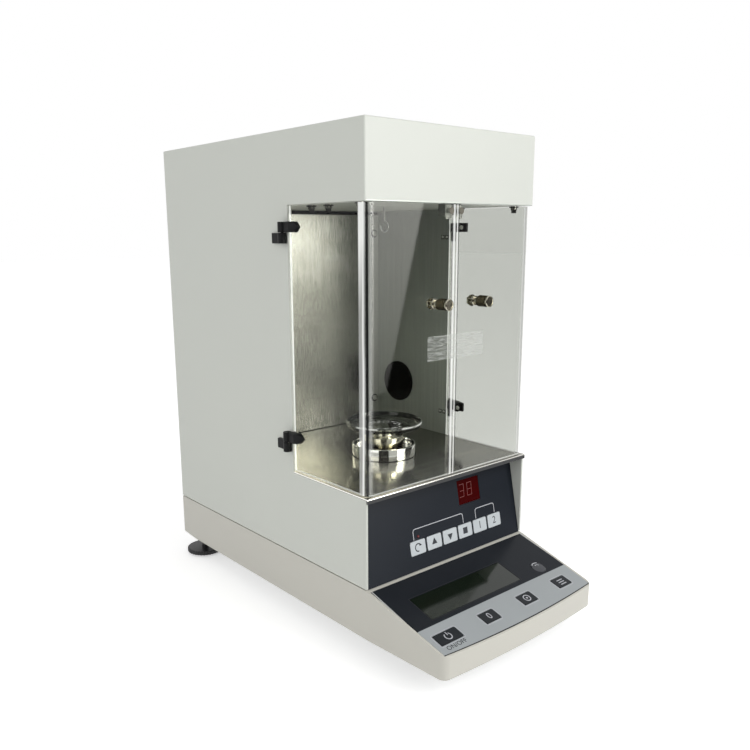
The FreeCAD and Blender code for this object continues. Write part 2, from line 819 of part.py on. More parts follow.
def make_power_inlet():
    """The mains inlet and the rocker that tips in its well."""
    outside = S.case_depth + S.inlet_flange
    module = new_body("power_inlet")
    flange = front_sketch(module, outside)
    draw_module_outline(flange, S.inlet_flange_border)
    pad(module, flange, S.inlet_flange)
    barrel = front_sketch(module, S.case_depth)
    draw_module_outline(barrel, 0)
    pad(module, barrel, S.inlet_depth)
    well = front_sketch(module, outside)
    draw_rectangle(well, S.rocker_x - S.rocker_width / 2, INLET_Z - S.rocker_height / 2,
                   S.rocker_x + S.rocker_width / 2, INLET_Z + S.rocker_height / 2)
    draw_rectangle(well, S.inlet_x - S.inlet_socket_width / 2, INLET_Z - S.inlet_socket_height / 2,
                   S.inlet_x + S.inlet_socket_width / 2, INLET_Z + S.inlet_socket_height / 2)
    pocket(module, well, S.inlet_socket_depth, along_normal=True)
    sockets = new_sketch(module, "YZ_Plane", S.rocker_x)
    pivot_y = outside - S.rocker_crown - S.rocker_pivot_depth
    draw_circle(sockets, pivot_y, INLET_Z, S.rocker_pivot_radius + S.running_gap)
    pocket(module, sockets, S.rocker_width + 2 * S.rocker_pivot_length, symmetric=True)
    blades = front_sketch(module, S.case_depth)
    for across, up in ((-S.blade_spacing, -S.blade_width), (0, S.blade_width),
                       (S.blade_spacing, -S.blade_width)):
        draw_rectangle(blades, S.inlet_x + across - S.blade_width / 2, INLET_Z + up - S.blade_width,
                       S.inlet_x + across + S.blade_width / 2, INLET_Z + up + S.blade_width)
    pad(module, blades, S.inlet_socket_depth - S.inlet_flange)
    finish(module)

    rocker = new_body("power_rocker")
    side = new_sketch(rocker, "YZ_Plane")
    half_height = S.rocker_height / 2 - S.rocker_swing_gap
    draw_outline(side, [
        (-S.rocker_depth, S.rocker_crown - half_height),
        (-2 * S.rocker_crown, -half_height),
        (-S.rocker_crown, 0),
        (S.rocker_crown, half_height),
        (-S.rocker_depth, half_height - S.rocker_crown),
    ])
    pad(rocker, side, S.rocker_width - 2 * S.fit_gap, symmetric=True)
    pivot = new_sketch(rocker, "YZ_Plane")
    draw_circle(pivot, -S.rocker_pivot_depth, 0, S.rocker_pivot_radius)
    pivot_reach = S.rocker_pivot_length - S.fit_gap
    pad(rocker, pivot, S.rocker_width + 2 * pivot_reach, symmetric=True)
    finish(rocker, S.rocker_x, outside - S.rocker_crown, INLET_Z)


def draw_module_outline(sketch, grow):
    wall = S.inlet_wall + grow
    draw_rectangle(sketch, S.inlet_x - S.inlet_socket_width / 2 - wall,
                   INLET_Z - S.rocker_height / 2 - wall,
                   S.rocker_x + S.rocker_width / 2 + wall,
                   INLET_Z + S.rocker_height / 2 + wall)


def make_serial_port():
    body = new_body("serial_port")
    flange = front_sketch(body, S.case_depth + S.serial_flange)
    draw_rectangle(flange, S.serial_x - S.serial_width / 2, INLET_Z - S.serial_height / 2,
                   S.serial_x + S.serial_width / 2, INLET_Z + S.serial_height / 2)
    pad(body, flange, S.serial_flange)
    half_width = S.serial_width / 2 - S.serial_ear - S.fit_gap
    half_height = S.serial_height / 2 - S.serial_border - S.fit_gap
    shell = front_sketch(body, S.case_depth + S.serial_flange + S.serial_proud)
    draw_outline(shell, [
        (S.serial_x - half_width + S.serial_border, INLET_Z - half_height),
        (S.serial_x + half_width - S.serial_border, INLET_Z - half_height),
        (S.serial_x + half_width, INLET_Z + half_height),
        (S.serial_x - half_width, INLET_Z + half_height)])
    pad(body, shell, S.serial_proud + S.serial_flange + S.rear_sheet + S.serial_border)
    return finish(body)


# ---------------------------------------------------------------- chamber


def make_chamber_floor():
    body = new_body("chamber_floor")
    sketch = new_sketch(body, "XY_Plane", FLOOR_UNDERSIDE)
    inner = INNER_HALF - S.fit_gap
    shoulder = S.door_opening - S.fit_gap
    back = S.chamber_depth - S.fit_gap
    draw_outline(sketch, [
        (-HALF, -S.floor_overhang),
        (HALF, -S.floor_overhang),
        (HALF, shoulder),
        (inner, shoulder),
        (inner, back),
        (-inner, back),
        (-inner, shoulder),
        (-HALF, shoulder),
    ])
    draw_circle(sketch, 0, S.stage_y, S.stem_radius + S.fit_gap)
    pad(body, sketch, S.floor_sheet)
    lip = new_sketch(body, "XY_Plane", FLOOR_TOP - S.floor_lip)
    draw_rectangle(lip, -HALF, -S.floor_overhang, HALF, -S.floor_overhang + S.floor_sheet)
    pad(body, lip, S.floor_lip)
    edge_y, top = -S.floor_overhang.value, FLOOR_TOP.value
    round_edges(body, S.floor_bend, lambda middle, run: (
        along(run, 0) and abs(middle.y - edge_y) < SQUARE_EDGE and abs(middle.z - top) < SQUARE_EDGE))
    return finish(body)


def make_chamber_walls():
    inner = INNER_HALF - S.fit_gap
    back = block("chamber_back_wall",
                 (-inner, S.chamber_depth, FLOOR_UNDERSIDE),
                 (inner, S.chamber_depth + S.wall_sheet, HOOD_UNDERSIDE - S.wall_top_gap))
    finish(back)
    ceiling = new_body("chamber_ceiling")
    sketch = new_sketch(ceiling, "XY_Plane", HOOD_UNDERSIDE)
    draw_rectangle(sketch, -inner, S.cover_sheet + S.fit_gap, inner, S.chamber_depth + S.cell_post)
    draw_circle(sketch, 0, S.stage_y, S.hook_hole_radius)
    pad(ceiling, sketch, S.wall_sheet)
    finish(ceiling)


# ---------------------------------------------------------------- keypad panel


def panel_keys():
    """The name and middle of each key on the keypad panel."""
    names = ("auto_key", "up_key", "down_key", "stop_key", "set_one_key", "set_two_key")
    return [(name, S.panel_key_first_x + number * S.panel_key_pitch)
            for number, name in enumerate(names)]


def draw_panel_openings(sketch, grow):
    half_width = S.panel_key_width / 2 + grow
    half_height = S.panel_key_height / 2 + grow
    for _, middle in panel_keys():
        draw_rectangle(sketch, middle - half_width, S.panel_key_up - half_height,
                       middle + half_width, S.panel_key_up + half_height)
    draw_rectangle(sketch, S.led_x - S.led_width / 2 - grow, S.led_up - S.led_height / 2 - grow,
                   S.led_x + S.led_width / 2 + grow, S.led_up + S.led_height / 2 + grow)


def panel_sheet(label, low, sheet, half):
    """A sheet on the keypad panel with its openings, from low up by its thickness."""
    body = new_body(label)
    sketch = new_sketch(body, "XY_Plane", low)
    foot = S.fit_gap - low * tangent(S.panel_lean)
    draw_rectangle(sketch, -half, foot, half, PANEL_LENGTH - S.fit_gap)
    draw_panel_openings(sketch, S.fit_gap)
    pad(body, sketch, sheet)
    return on_panel(body)


def sprung_key(label, x, y, width, height, depth):
    """A key whose flange stays under the sheet that it comes through."""
    body = new_body(label)
    cap = new_sketch(body, "XY_Plane", -depth)
    draw_rectangle(cap, x - width / 2, y - height / 2, x + width / 2, y + height / 2)
    pad(body, cap, depth + S.key_proud)
    round_edges(body, S.key_corner, lambda middle, run: along(run, 2))
    flange = new_sketch(body, "XY_Plane", -depth)
    grow = S.key_flange - S.fit_gap
    draw_rectangle(flange, x - width / 2 - grow, y - height / 2 - grow,
                   x + width / 2 + grow, y + height / 2 + grow)
    pad(body, flange, S.key_flange)
    return body


def key_board(label, keys, y, board_top, low, high):
    """A circuit board, low to high, with one dome switch under each key."""
    body = new_body(label)
    sheet = new_sketch(body, "XY_Plane", -board_top - S.board_sheet)
    draw_rectangle(sheet, low[0], low[1], high[0], high[1])
    pad(body, sheet, S.board_sheet)
    domes = new_sketch(body, "XY_Plane", -board_top)
    for middle in keys:
        draw_circle(domes, middle, y, S.dome_radius)
    pad(body, domes, S.dome_height)
    return body


def stand_posts(board, places, board_top, sheet_back):
    """Posts that hold a key board off the back of the sheet in front of it."""
    posts = new_sketch(board, "XY_Plane", -board_top)
    for x, y in places:
        draw_circle(posts, x, y, S.post_radius_small)
    pad(board, posts, board_top - sheet_back)


def make_keypad():
    panel_sheet("keypad_overlay", -S.panel_overlay, S.panel_overlay, INNER_HALF - S.fit_gap)
    panel_sheet("keypad_plate", -S.panel_overlay - S.panel_plate, S.panel_plate,
                INNER_HALF - S.fit_gap)
    depth = S.panel_overlay + S.panel_plate + S.key_flange + S.fit_gap
    for name, middle in panel_keys():
        key = sprung_key(name, middle, S.panel_key_up, S.panel_key_width, S.panel_key_height, depth)
        on_panel(key)
    board_top = depth + S.key_travel + S.running_gap + S.dome_height
    first = S.panel_key_first_x - S.panel_key_width / 2
    last = S.panel_key_first_x + 5 * S.panel_key_pitch + S.panel_key_width / 2
    board = key_board("keypad_board", [middle for _, middle in panel_keys()], S.panel_key_up,
                      board_top, (first, S.panel_key_up - S.panel_key_height),
                      (last, S.led_up + S.led_height / 2))
    post_up = S.panel_key_up + S.panel_key_height
    stand_posts(board, [(first + S.post_inset, post_up), (last - S.post_inset, post_up)],
                board_top, S.panel_overlay + S.panel_plate)
    on_panel(board)
    half_width, half_height = S.led_width / 2, S.led_height / 2
    window = block("led_window",
                   (S.led_x - half_width, S.led_up - half_height, -S.led_window_depth),
                   (S.led_x + half_width, S.led_up + half_height, -S.window_sink))
    on_panel(window)
    module = block("led_display",
                   (S.led_x - half_width, S.led_up - half_height, -board_top),
                   (S.led_x + half_width, S.led_up + half_height, -S.led_window_depth))
    on_panel(module)


# ---------------------------------------------------------------- console


def make_console():
    overlay = new_body("console_overlay")
    sheet = new_sketch(overlay, "XY_Plane", -S.overlay_sheet)
    draw_overlay_outline(sheet, 0)
    draw_console_openings(sheet, S.fit_gap)
    pad(overlay, sheet, S.overlay_sheet)
    on_console(overlay)

    window = block("lcd_window", (S.lcd_left, -S.lcd_bottom, -S.deck),
                   (S.lcd_right, -S.lcd_top, -S.window_sink))
    on_console(window)
    border = S.lcd_border
    module_top = -S.deck
    module = block("lcd_module",
                   (S.lcd_left - border, -S.lcd_bottom - border, module_top - S.lcd_module_depth),
                   (S.lcd_right + border, -S.lcd_top + border, module_top))
    on_console(module)

    key_depth = S.deck + S.key_flange + S.fit_gap
    for name, middle, width in console_keys():
        key = sprung_key(name, middle, -CONSOLE_KEY_DOWN, width, S.console_key_height, key_depth)
        on_console(key)
    board_top = key_depth + S.key_travel + S.running_gap + S.dome_height
    first = S.power_key_inset - HALF - S.power_key_width / 2
    last = S.console_key_first_x + 2 * S.console_key_pitch + S.console_key_width / 2
    board = key_board("console_board", [middle for _, middle, _ in console_keys()],
                      -CONSOLE_KEY_DOWN, board_top,
                      (first, -CONSOLE_KEY_DOWN - S.console_key_height / 2),
                      (last, S.console_key_height / 2 + S.board_margin - CONSOLE_KEY_DOWN))
    between = S.console_key_first_x + S.console_key_pitch / 2
    stand_posts(board, [(between - S.console_key_pitch, -CONSOLE_KEY_DOWN),
                        (between, -CONSOLE_KEY_DOWN),
                        (between + S.console_key_pitch, -CONSOLE_KEY_DOWN)],
                board_top, S.deck)
    on_console(board)

    level = turned("spirit_level", [
        (0, -S.level_height), (S.level_radius - S.edge_break, -S.level_height),
        (S.level_radius, -S.level_height + S.edge_break), (S.level_radius, 0),
        (S.level_radius - S.edge_break, S.edge_break / 2), (0, S.edge_break)])
    tilt_y = -S.level_down * cosine(S.console_slope)
    tilt_z = S.seam_height - S.level_down * sine(S.console_slope)
    finish(level, S.level_x, tilt_y, tilt_z, axis=(1, 0, 0), angle=S.console_slope)


# ---------------------------------------------------------------- doors


def make_door(side, side_sign):
    """One wraparound door: pane, knob, hinge leaves and strike plate.  side_sign is -1 for left."""
    outer = side_sign * DOOR_OUTER
    inner = side_sign * (DOOR_OUTER - S.door_sheet)
    free_edge = side_sign * S.door_seam_gap / 2
    front = S.door_front_inset
    rear = S.door_opening - S.fit_gap
    pane = new_body(f"{side}_door_pane")
    sketch = new_sketch(pane, "XY_Plane", DOOR_BOTTOM)
    draw_outline(sketch, [
        (free_edge, front), (outer, front), (outer, rear),
        (inner, rear), (inner, DOOR_BACK), (free_edge, DOOR_BACK)])
    pad(pane, sketch, DOOR_TOP - DOOR_BOTTOM)
    corner_x, corner_y = outer.value, front.value
    round_edges(pane, S.door_bend, lambda middle, run: (
        along(run, 2) and abs(middle.x - corner_x) < SQUARE_EDGE
        and abs(middle.y - corner_y) < SQUARE_EDGE))
    corner_x, corner_y = inner.value, DOOR_BACK.value
    round_edges(pane, S.door_bend - S.door_sheet, lambda middle, run: (
        along(run, 2) and abs(middle.x - corner_x) < SQUARE_EDGE
        and abs(middle.y - corner_y) < SQUARE_EDGE))
    hole = front_sketch(pane, front - OVERRUN)
    draw_circle(hole, side_sign * S.knob_x, KNOB_Z, S.knob_stud_radius + S.running_gap)
    pocket(pane, hole, 2 * OVERRUN + S.door_sheet)
    finish(pane)

    knob_end = S.knob_collar + S.knob_neck + S.knob_length
    rim = S.knob_rim
    knob = turned(f"{side}_knob_master", [
        (0, -S.door_sheet - S.knob_nut), (S.knob_stud_radius, -S.door_sheet - S.knob_nut),
        (S.knob_stud_radius, 0), (S.knob_collar_radius, 0),
        (S.knob_collar_radius, S.knob_collar), (S.knob_neck_radius, S.knob_collar),
        (S.knob_neck_radius, S.knob_collar + S.knob_neck - rim),
        (S.knob_radius, S.knob_collar + S.knob_neck), (S.knob_radius, knob_end - rim),
        (S.knob_radius - rim, knob_end), (0, knob_end)])
    nut = turned(f"{side}_nut_master", [
        (S.knob_stud_radius + S.running_gap, 0), (S.knob_nut_radius, 0),
        (S.knob_nut_radius, S.knob_nut), (S.knob_stud_radius + S.running_gap, S.knob_nut)])
    group(f"{side}_door_knob", [
        (knob, side_sign * S.knob_x, front, KNOB_Z, (1, 0, 0), 90),
        (nut, side_sign * S.knob_x, DOOR_BACK + S.knob_nut, KNOB_Z, (1, 0, 0), 90)])

    leaf_front = S.door_opening - S.leaf_reach
    leaf = door_leaf_master(side, side_sign)
    clamp = block(f"{side}_clamp_master",
                  (side_sign * (DOOR_OUTER - S.door_sheet) - S.leaf_sheet / 2, leaf_front, 0),
                  (side_sign * (DOOR_OUTER - S.door_sheet) + S.leaf_sheet / 2,
                   leaf_front + S.clamp_length, S.leaf_height))
    clamp_shift = -side_sign * S.leaf_sheet / 2
    members = []
    for level in HINGE_LEVELS:
        members.append((leaf, 0, 0, level, (0, 0, 1), 0))
        members.append((clamp, clamp_shift, 0, level, (0, 0, 1), 0))
    group(f"{side}_door_leaves", members)

    near = side_sign * (S.door_seam_gap / 2 + S.strike_from_seam)
    far = side_sign * (S.door_seam_gap / 2 + S.strike_from_seam + S.strike_width)
    strike_top = DOOR_TOP - S.fit_gap
    low_x, high_x = (far, near) if side_sign < 0 else (near, far)
    strike = block(f"{side}_strike_plate",
                   (low_x, DOOR_BACK, strike_top - S.strike_height),
                   (high_x, DOOR_BACK + S.strike_sheet, strike_top))
    finish(strike)


def door_leaf_master(side, side_sign):
    """The door's half of a lift-off hinge: a pointed plate on the pane and a knuckle."""
    leaf = new_body(f"{side}_leaf_master")
    leaf_front = S.door_opening - S.leaf_reach
    outside = side_sign * (DOOR_OUTER + S.leaf_sheet)
    pane_face = side_sign * DOOR_OUTER
    step = side_sign * (HALF + S.fit_gap)
    arm_outer = side_sign * (HINGE_X + S.leaf_arm)
    shoulder = S.door_opening - 2 * S.fit_gap
    sketch = new_sketch(leaf, "XY_Plane")
    draw_outline(sketch, [
        (pane_face, leaf_front), (outside, leaf_front + S.edge_break),
        (arm_outer, shoulder - S.leaf_shoulder), (arm_outer, HINGE_Y),
        (step, HINGE_Y), (step, shoulder), (pane_face, shoulder)])
    pad(leaf, sketch, S.leaf_height)
    knuckle = new_sketch(leaf, "XY_Plane")
    draw_circle(knuckle, side_sign * HINGE_X, HINGE_Y, S.knuckle_radius)
    pad(leaf, knuckle, S.leaf_height)
    bore = new_sketch(leaf, "XY_Plane", S.leaf_height)
    draw_circle(bore, side_sign * HINGE_X, HINGE_Y, S.hinge_pin_radius + S.running_gap)
    pocket(leaf, bore, S.leaf_height + OVERRUN)
    return leaf


def case_leaf_master(side, side_sign):
    """The case's half of the hinge: a block on the side sheet, a knuckle and the pin in it."""
    leaf = new_body(f"{side}_case_leaf_master")
    sketch = new_sketch(leaf, "XY_Plane", -S.leaf_height)
    face = side_sign * HALF
    outside = side_sign * (HALF + S.leaf_sheet)
    leaf_end = HINGE_Y + S.case_leaf_reach
    arm_outer = side_sign * (HINGE_X + S.leaf_arm)
    draw_outline(sketch, [
        (face, HINGE_Y), (arm_outer, HINGE_Y),
        (arm_outer, HINGE_Y + S.knuckle_radius), (outside, HINGE_Y + 2 * S.knuckle_radius),
        (outside, leaf_end), (face, leaf_end)])
    pad(leaf, sketch, S.leaf_height)
    knuckle = new_sketch(leaf, "XY_Plane", -S.leaf_height)
    draw_circle(knuckle, side_sign * HINGE_X, HINGE_Y, S.knuckle_radius)
    pad(leaf, knuckle, S.leaf_height)
    hinge_pin = new_sketch(leaf, "XY_Plane", -S.leaf_height)
    draw_circle(hinge_pin, side_sign * HINGE_X, HINGE_Y, S.hinge_pin_radius)
    pad(leaf, hinge_pin, 2 * S.leaf_height + S.leaf_gap - S.fit_gap)
    return leaf


def make_case_leaves():
    members = []
    for side, side_sign in (("left", -1), ("right", 1)):
        master = case_leaf_master(side, side_sign)
        for level in HINGE_LEVELS:
            members.append((master, 0, 0, level - S.leaf_gap, (0, 0, 1), 0))
    group("hinge_brackets", members)


def make_catches():
    """One magnet block behind each strike plate, hung from the chamber's ceiling."""
    front = DOOR_BACK + S.strike_sheet + S.fit_gap
    blocks = []
    for side, side_sign in (("left", -1), ("right", 1)):
        near = side_sign * (S.door_seam_gap / 2 + S.strike_from_seam)
        far = side_sign * (S.door_seam_gap / 2 + S.strike_from_seam + S.strike_width)
        low_x, high_x = (far, near) if side_sign < 0 else (near, far)
        catch = block(f"{side}_catch_master",
                      (low_x, front, HOOD_UNDERSIDE - S.catch_height),
                      (high_x, front + S.catch_depth, HOOD_UNDERSIDE))
        blocks.append((catch, 0, 0, 0, (0, 0, 1), 0))
    group("catch_magnets", blocks)


# ---------------------------------------------------------------- stage and lift


def make_stage():
    cup_top = FLOOR_TOP + S.cup_height
    bore = S.stem_radius + S.fit_gap
    cup = turned("stage_cup", [
        (bore, FLOOR_TOP), (S.cup_radius, FLOOR_TOP), (S.cup_radius, cup_top - S.edge_break),
        (S.cup_radius - S.edge_break, cup_top), (S.cup_radius - S.cup_wall, cup_top),
        (S.cup_radius - S.cup_wall, FLOOR_TOP + S.cup_bottom), (bore, FLOOR_TOP + S.cup_bottom)])
    finish(cup, 0, S.stage_y, 0)

    step_bottom = FLOOR_TOP + S.cup_bottom + S.fit_gap
    step_top = step_bottom + S.step_height
    post_top = step_top + S.post_height
    rim = S.edge_break
    platform = turned("stage_platform", [
        (0, step_bottom), (S.step_radius, step_bottom), (S.step_radius, step_top - rim),
        (S.step_radius - rim, step_top), (S.post_radius, step_top),
        (S.post_radius, post_top - rim), (S.post_radius - rim, post_top), (0, post_top)])
    finish(platform, 0, S.stage_y, 0)

    low = post_top + S.dish_gap
    dish_top = low + S.dish_height
    flare = S.dish_radius - S.dish_base_radius
    dish = turned("glass_dish", [
        (0, low), (S.dish_base_radius, low), (S.dish_radius, low + flare),
        (S.dish_radius, dish_top - rim), (S.dish_radius - rim, dish_top),
        (S.dish_radius - S.dish_wall, dish_top), (S.dish_radius - S.dish_wall, low + flare + rim),
        (S.dish_base_radius - rim, low + S.dish_wall), (0, low + S.dish_wall)])
    finish(dish, 0, S.stage_y, 0)

    plate_low = S.seam_height
    plate_high = plate_low + S.frame_sheet
    bridge_high = FLOOR_UNDERSIDE
    carriage_low = plate_high + S.carriage_rise
    carriage = new_body("stage_carriage")
    plate = new_sketch(carriage, "XY_Plane", carriage_low)
    draw_rectangle(plate, -S.carriage_width / 2, S.stage_y - S.carriage_depth / 2,
                   S.carriage_width / 2, S.stage_y + S.carriage_depth / 2)
    pad(carriage, plate, S.carriage_height)
    stem = new_sketch(carriage, "XY_Plane", carriage_low)
    draw_circle(stem, 0, S.stage_y, S.stem_radius)
    pad(carriage, stem, step_bottom - carriage_low)
    hollow = new_sketch(carriage, "XY_Plane", step_bottom)
    draw_circle(hollow, 0, S.stage_y, S.stem_bore)
    pocket(carriage, hollow, step_bottom - carriage_low - S.carriage_height)
    bores = new_sketch(carriage, "XY_Plane", carriage_low + S.carriage_height)
    draw_circle(bores, 0, S.stage_y, S.screw_radius + S.running_gap)
    for side_sign in (-1, 1):
        draw_circle(bores, side_sign * S.rod_spacing / 2, S.stage_y, S.rod_radius + S.running_gap)
    pocket(carriage, bores, S.carriage_height + OVERRUN)
    finish(carriage)

    frame = new_body("lift_frame")
    side = front_sketch(frame, S.stage_y)
    half = S.frame_width / 2
    draw_outline(side, [
        (-half, plate_low), (half, plate_low), (half, bridge_high), (-half, bridge_high)])
    draw_outline(side, [
        (-half + S.frame_sheet, plate_high), (half - S.frame_sheet, plate_high),
        (half - S.frame_sheet, bridge_high - S.frame_sheet),
        (-half + S.frame_sheet, bridge_high - S.frame_sheet)])
    pad(frame, side, S.frame_depth, symmetric=True)
    holes = new_sketch(frame, "XY_Plane", bridge_high + OVERRUN)
    draw_circle(holes, 0, S.stage_y, S.stem_radius + S.fit_gap)
    pocket(frame, holes, S.frame_sheet + 2 * OVERRUN)
    boss_hole = new_sketch(frame, "XY_Plane", plate_high + OVERRUN)
    draw_circle(boss_hole, 0, S.stage_y, S.motor_boss_radius + S.fit_gap)
    pocket(frame, boss_hole, S.frame_sheet + 2 * OVERRUN)
    finish(frame)

    rod = turned("rod_master", [
        (0, plate_high), (S.rod_radius, plate_high),
        (S.rod_radius, bridge_high - S.frame_sheet), (0, bridge_high - S.frame_sheet)])
    group("guide_rods", [
        (rod, side_sign * S.rod_spacing / 2, S.stage_y, 0, (0, 0, 1), 0) for side_sign in (-1, 1)])

    motor = new_body("lift_motor")
    plate_top = S.base_underside + S.base_plate_recess + S.base_plate_sheet
    motor_bottom = plate_top + S.motor_clearance
    case = new_sketch(motor, "XY_Plane", motor_bottom)
    half = S.motor_side / 2
    draw_rectangle(case, -half, S.stage_y - half, half, S.stage_y + half)
    pad(motor, case, DECK_UNDERSIDE - motor_bottom)
    round_edges(motor, S.motor_corner, lambda middle, run: along(run, 2))
    boss = new_sketch(motor, "XY_Plane", DECK_UNDERSIDE)
    draw_circle(boss, 0, S.stage_y, S.motor_boss_radius)
    pad(motor, boss, S.motor_boss)
    finish(motor)

    screw_top = bridge_high - S.frame_sheet - S.screw_headroom
    screw_bottom = DECK_UNDERSIDE + S.motor_boss + S.running_gap
    screw = turned("lead_screw", [
        (0, screw_bottom), (S.screw_radius, screw_bottom), (S.screw_radius, screw_top - rim),
        (S.screw_radius - rim, screw_top), (0, screw_top)])
    finish(screw, 0, S.stage_y, 0)


# ---------------------------------------------------------------- weigh cell


def make_weigh_cell():
    bench = HOOD_UNDERSIDE + S.wall_sheet
    cell = new_body("weigh_cell")
    pot = new_sketch(cell, "XY_Plane", bench)
    draw_circle(pot, 0, CELL_Y, S.pot_radius)
    pad(cell, pot, S.pot_height)
    post = new_sketch(cell, "XY_Plane", bench)
    post_front = CELL_Y + S.pot_radius - S.fit_gap
    draw_rectangle(post, -S.cell_post / 2, post_front, S.cell_post / 2, post_front + S.cell_post)
    pad(cell, post, BEAM_BOTTOM + S.beam_height - bench)
    finish(cell)

    beam = block("weigh_beam",
                 (-S.beam_width / 2, S.stage_y - S.beam_width / 2, BEAM_BOTTOM),
                 (S.beam_width / 2, post_front - S.fit_gap, BEAM_BOTTOM + S.beam_height))
    finish(beam)

    ring_radius = S.hook_inner_radius + S.hook_rod_radius
    ring_z = HOOD_UNDERSIDE - S.hook_drop + ring_radius
    hook = new_body("hanger_hook")
    wire = new_sketch(hook, "YZ_Plane")
    draw_circle(wire, 0, ring_radius, S.hook_rod_radius)
    ring = hook.newObject("PartDesign::Revolution", "hook_ring")
    ring.Profile = wire
    ring.ReferenceAxis = (wire, ["H_Axis"])
    bind(ring, "Angle", S.hook_turn)
    shank = new_sketch(hook, "XY_Plane", ring_radius)
    draw_circle(shank, 0, 0, S.hook_rod_radius)
    pad(hook, shank, BEAM_BOTTOM - ring_z - ring_radius)
    return finish(hook, 0, S.stage_y, ring_z)


# ---------------------------------------------------------------- electronics and fasteners


def make_electronics():
    half_width = S.main_board_width / 2
    half_length = S.main_board_length / 2
    board_x = S.main_board_inset - HALF
    board_y = S.case_depth - S.main_board_back
    board_low = S.seam_height + S.main_board_height
    board = new_body("main_board")
    sheet = new_sketch(board, "XY_Plane", board_low)
    draw_rectangle(sheet, board_x - half_width, board_y - half_length,
                   board_x + half_width, board_y + half_length)
    pad(board, sheet, S.board_sheet)
    legs = new_sketch(board, "XY_Plane", S.seam_height)
    for across in (-1, 1):
        for back in (-1, 1):
            draw_circle(legs, board_x + across * (half_width - S.standoff_inset),
                        board_y + back * (half_length - S.standoff_inset),
                        S.standoff_radius)
    pad(board, legs, S.main_board_height)
    chips = new_sketch(board, "XY_Plane", board_low + S.board_sheet)
    half_chip = S.chip_width / 2
    draw_rectangle(chips, board_x - half_chip, board_y - half_chip,
                   board_x + half_chip, board_y + half_chip)
    pad(board, chips, S.chip_height)
    finish(board)

    core_x = HALF - S.transformer_inset
    core_y = S.case_depth - S.transformer_back
    core = new_body("transformer")
    base = new_sketch(core, "XY_Plane", S.seam_height)
    half_width = S.transformer_width / 2
    half_depth = S.transformer_depth / 2
    draw_rectangle(base, core_x - half_width, core_y - half_depth + S.coil_bulge,
                   core_x + half_width, core_y + half_depth - S.coil_bulge)
    pad(core, base, S.transformer_height)
    coil = new_sketch(core, "XY_Plane", S.seam_height + S.coil_bulge)
    draw_rectangle(coil, core_x - S.coil_width / 2, core_y - half_depth,
                   core_x + S.coil_width / 2, core_y + half_depth)
    pad(core, coil, S.transformer_height - 2 * S.coil_bulge)
    finish(core)


def make_fasteners():
    """Pan-head screws on the case, and the stop bolts under the chamber's ceiling."""
    head = turned("screw_head_master", [
        (0, 0), (S.screw_head_radius, 0), (S.screw_head_radius, S.screw_head - S.edge_break),
        (S.screw_head_radius - S.edge_break, S.screw_head), (0, S.screw_head)])
    bolt = turned("stop_bolt_master", [
        (0, 0), (S.stop_nut_radius, 0), (S.stop_nut_radius, S.stop_nut),
        (S.stop_bolt_radius, S.stop_nut), (S.stop_bolt_radius, S.stop_bolt_length),
        (0, S.stop_bolt_length)])
    toward_front = ((1, 0, 0), 90)
    toward_back = ((1, 0, 0), -90)
    downward = ((1, 0, 0), 180)
    high_screw = HOOD_UNDERSIDE - S.wall_screw_drop
    low_screw = FLOOR_TOP + S.wall_screw_rise
    members = []
    for side_sign in (-1, 1):
        across = side_sign * (INNER_HALF - S.wall_screw_inset)
        for level in (high_screw, low_screw):
            members.append((head, across, S.chamber_depth, level, *toward_front))
        for level in (COVER_BOTTOM + S.rear_screw_inset, (COVER_BOTTOM + CASE_TOP) / 2,
                      CASE_TOP - S.rear_screw_inset):
            members.append((head, across, S.case_depth, level, *toward_back))
        members.append((bolt, across, S.stop_bolt_front, HOOD_UNDERSIDE, *downward))
        for behind in (0, 1):
            members.append((bolt, side_sign * (HALF - S.stop_bolt_inset),
                            S.stop_bolt_y + behind * S.stop_bolt_pitch,
                            HOOD_UNDERSIDE, *downward))
    group("case_screws", members)


# ---------------------------------------------------------------- build, check and write


def make_all():
    make_base_shell()
    make_base_plate()
    make_front_feet()
    for side, side_sign in (("left", -1), ("right", 1)):
        make_rear_foot(side, side_sign)
        make_door(side, side_sign)
    make_housing_cover()
    make_port_plug()
    make_rear_panel()
    make_power_inlet()
    make_serial_port()
    make_chamber_floor()
    make_chamber_walls()
    make_keypad()
    make_console()
    make_case_leaves()
    make_catches()
    make_stage()
    make_weigh_cell()
    make_electronics()
    make_fasteners()
    DOC.recompute()


def check_all():
    for thing in DOC.Objects:
        if "Invalid" in thing.State or "Error" in thing.State:
            raise RuntimeError(f"{thing.Name} did not recompute")
    for part in PARTS:
        if part.Shape.isNull() or not part.Shape.isValid() or not part.Shape.Solids:
            raise RuntimeError(f"{part.Label} has no valid solid")


def write_all():
    os.makedirs("parts", exist_ok=True)
    for part in PARTS:
        part.Shape.exportStep(os.path.join("parts", f"{part.Label}.step"))
        box = part.Shape.BoundBox
        print(f"{part.Label}: {len(part.Shape.Solids)} solid(s), {part.Shape.Volume / 1000:.1f} cm3, "
              f"x {box.XMin:.1f}..{box.XMax:.1f}, y {box.YMin:.1f}..{box.YMax:.1f}, "
              f"z {box.ZMin:.1f}..{box.ZMax:.1f}")
    print(len(PARTS), "sub-parts written")


make_all()
check_all()
write_all()
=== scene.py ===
# %% [markdown]
# # Dressing a bench surface tensiometer
# The instrument is a tall painted steel cabinet with a weighing chamber behind two bent clear
# doors, a keypad panel under the chamber and a sloping console in front. Its solids come ready
# made and can't move. This lesson gives them finishes and adds the small things that solids
# leave out: printing, symbols, lit figures, knurling, ribs, screw recesses and sticky tape.

# %% Load the fixed frame
import math
import bmesh
import bpy
from mathutils import Matrix, Vector, noise


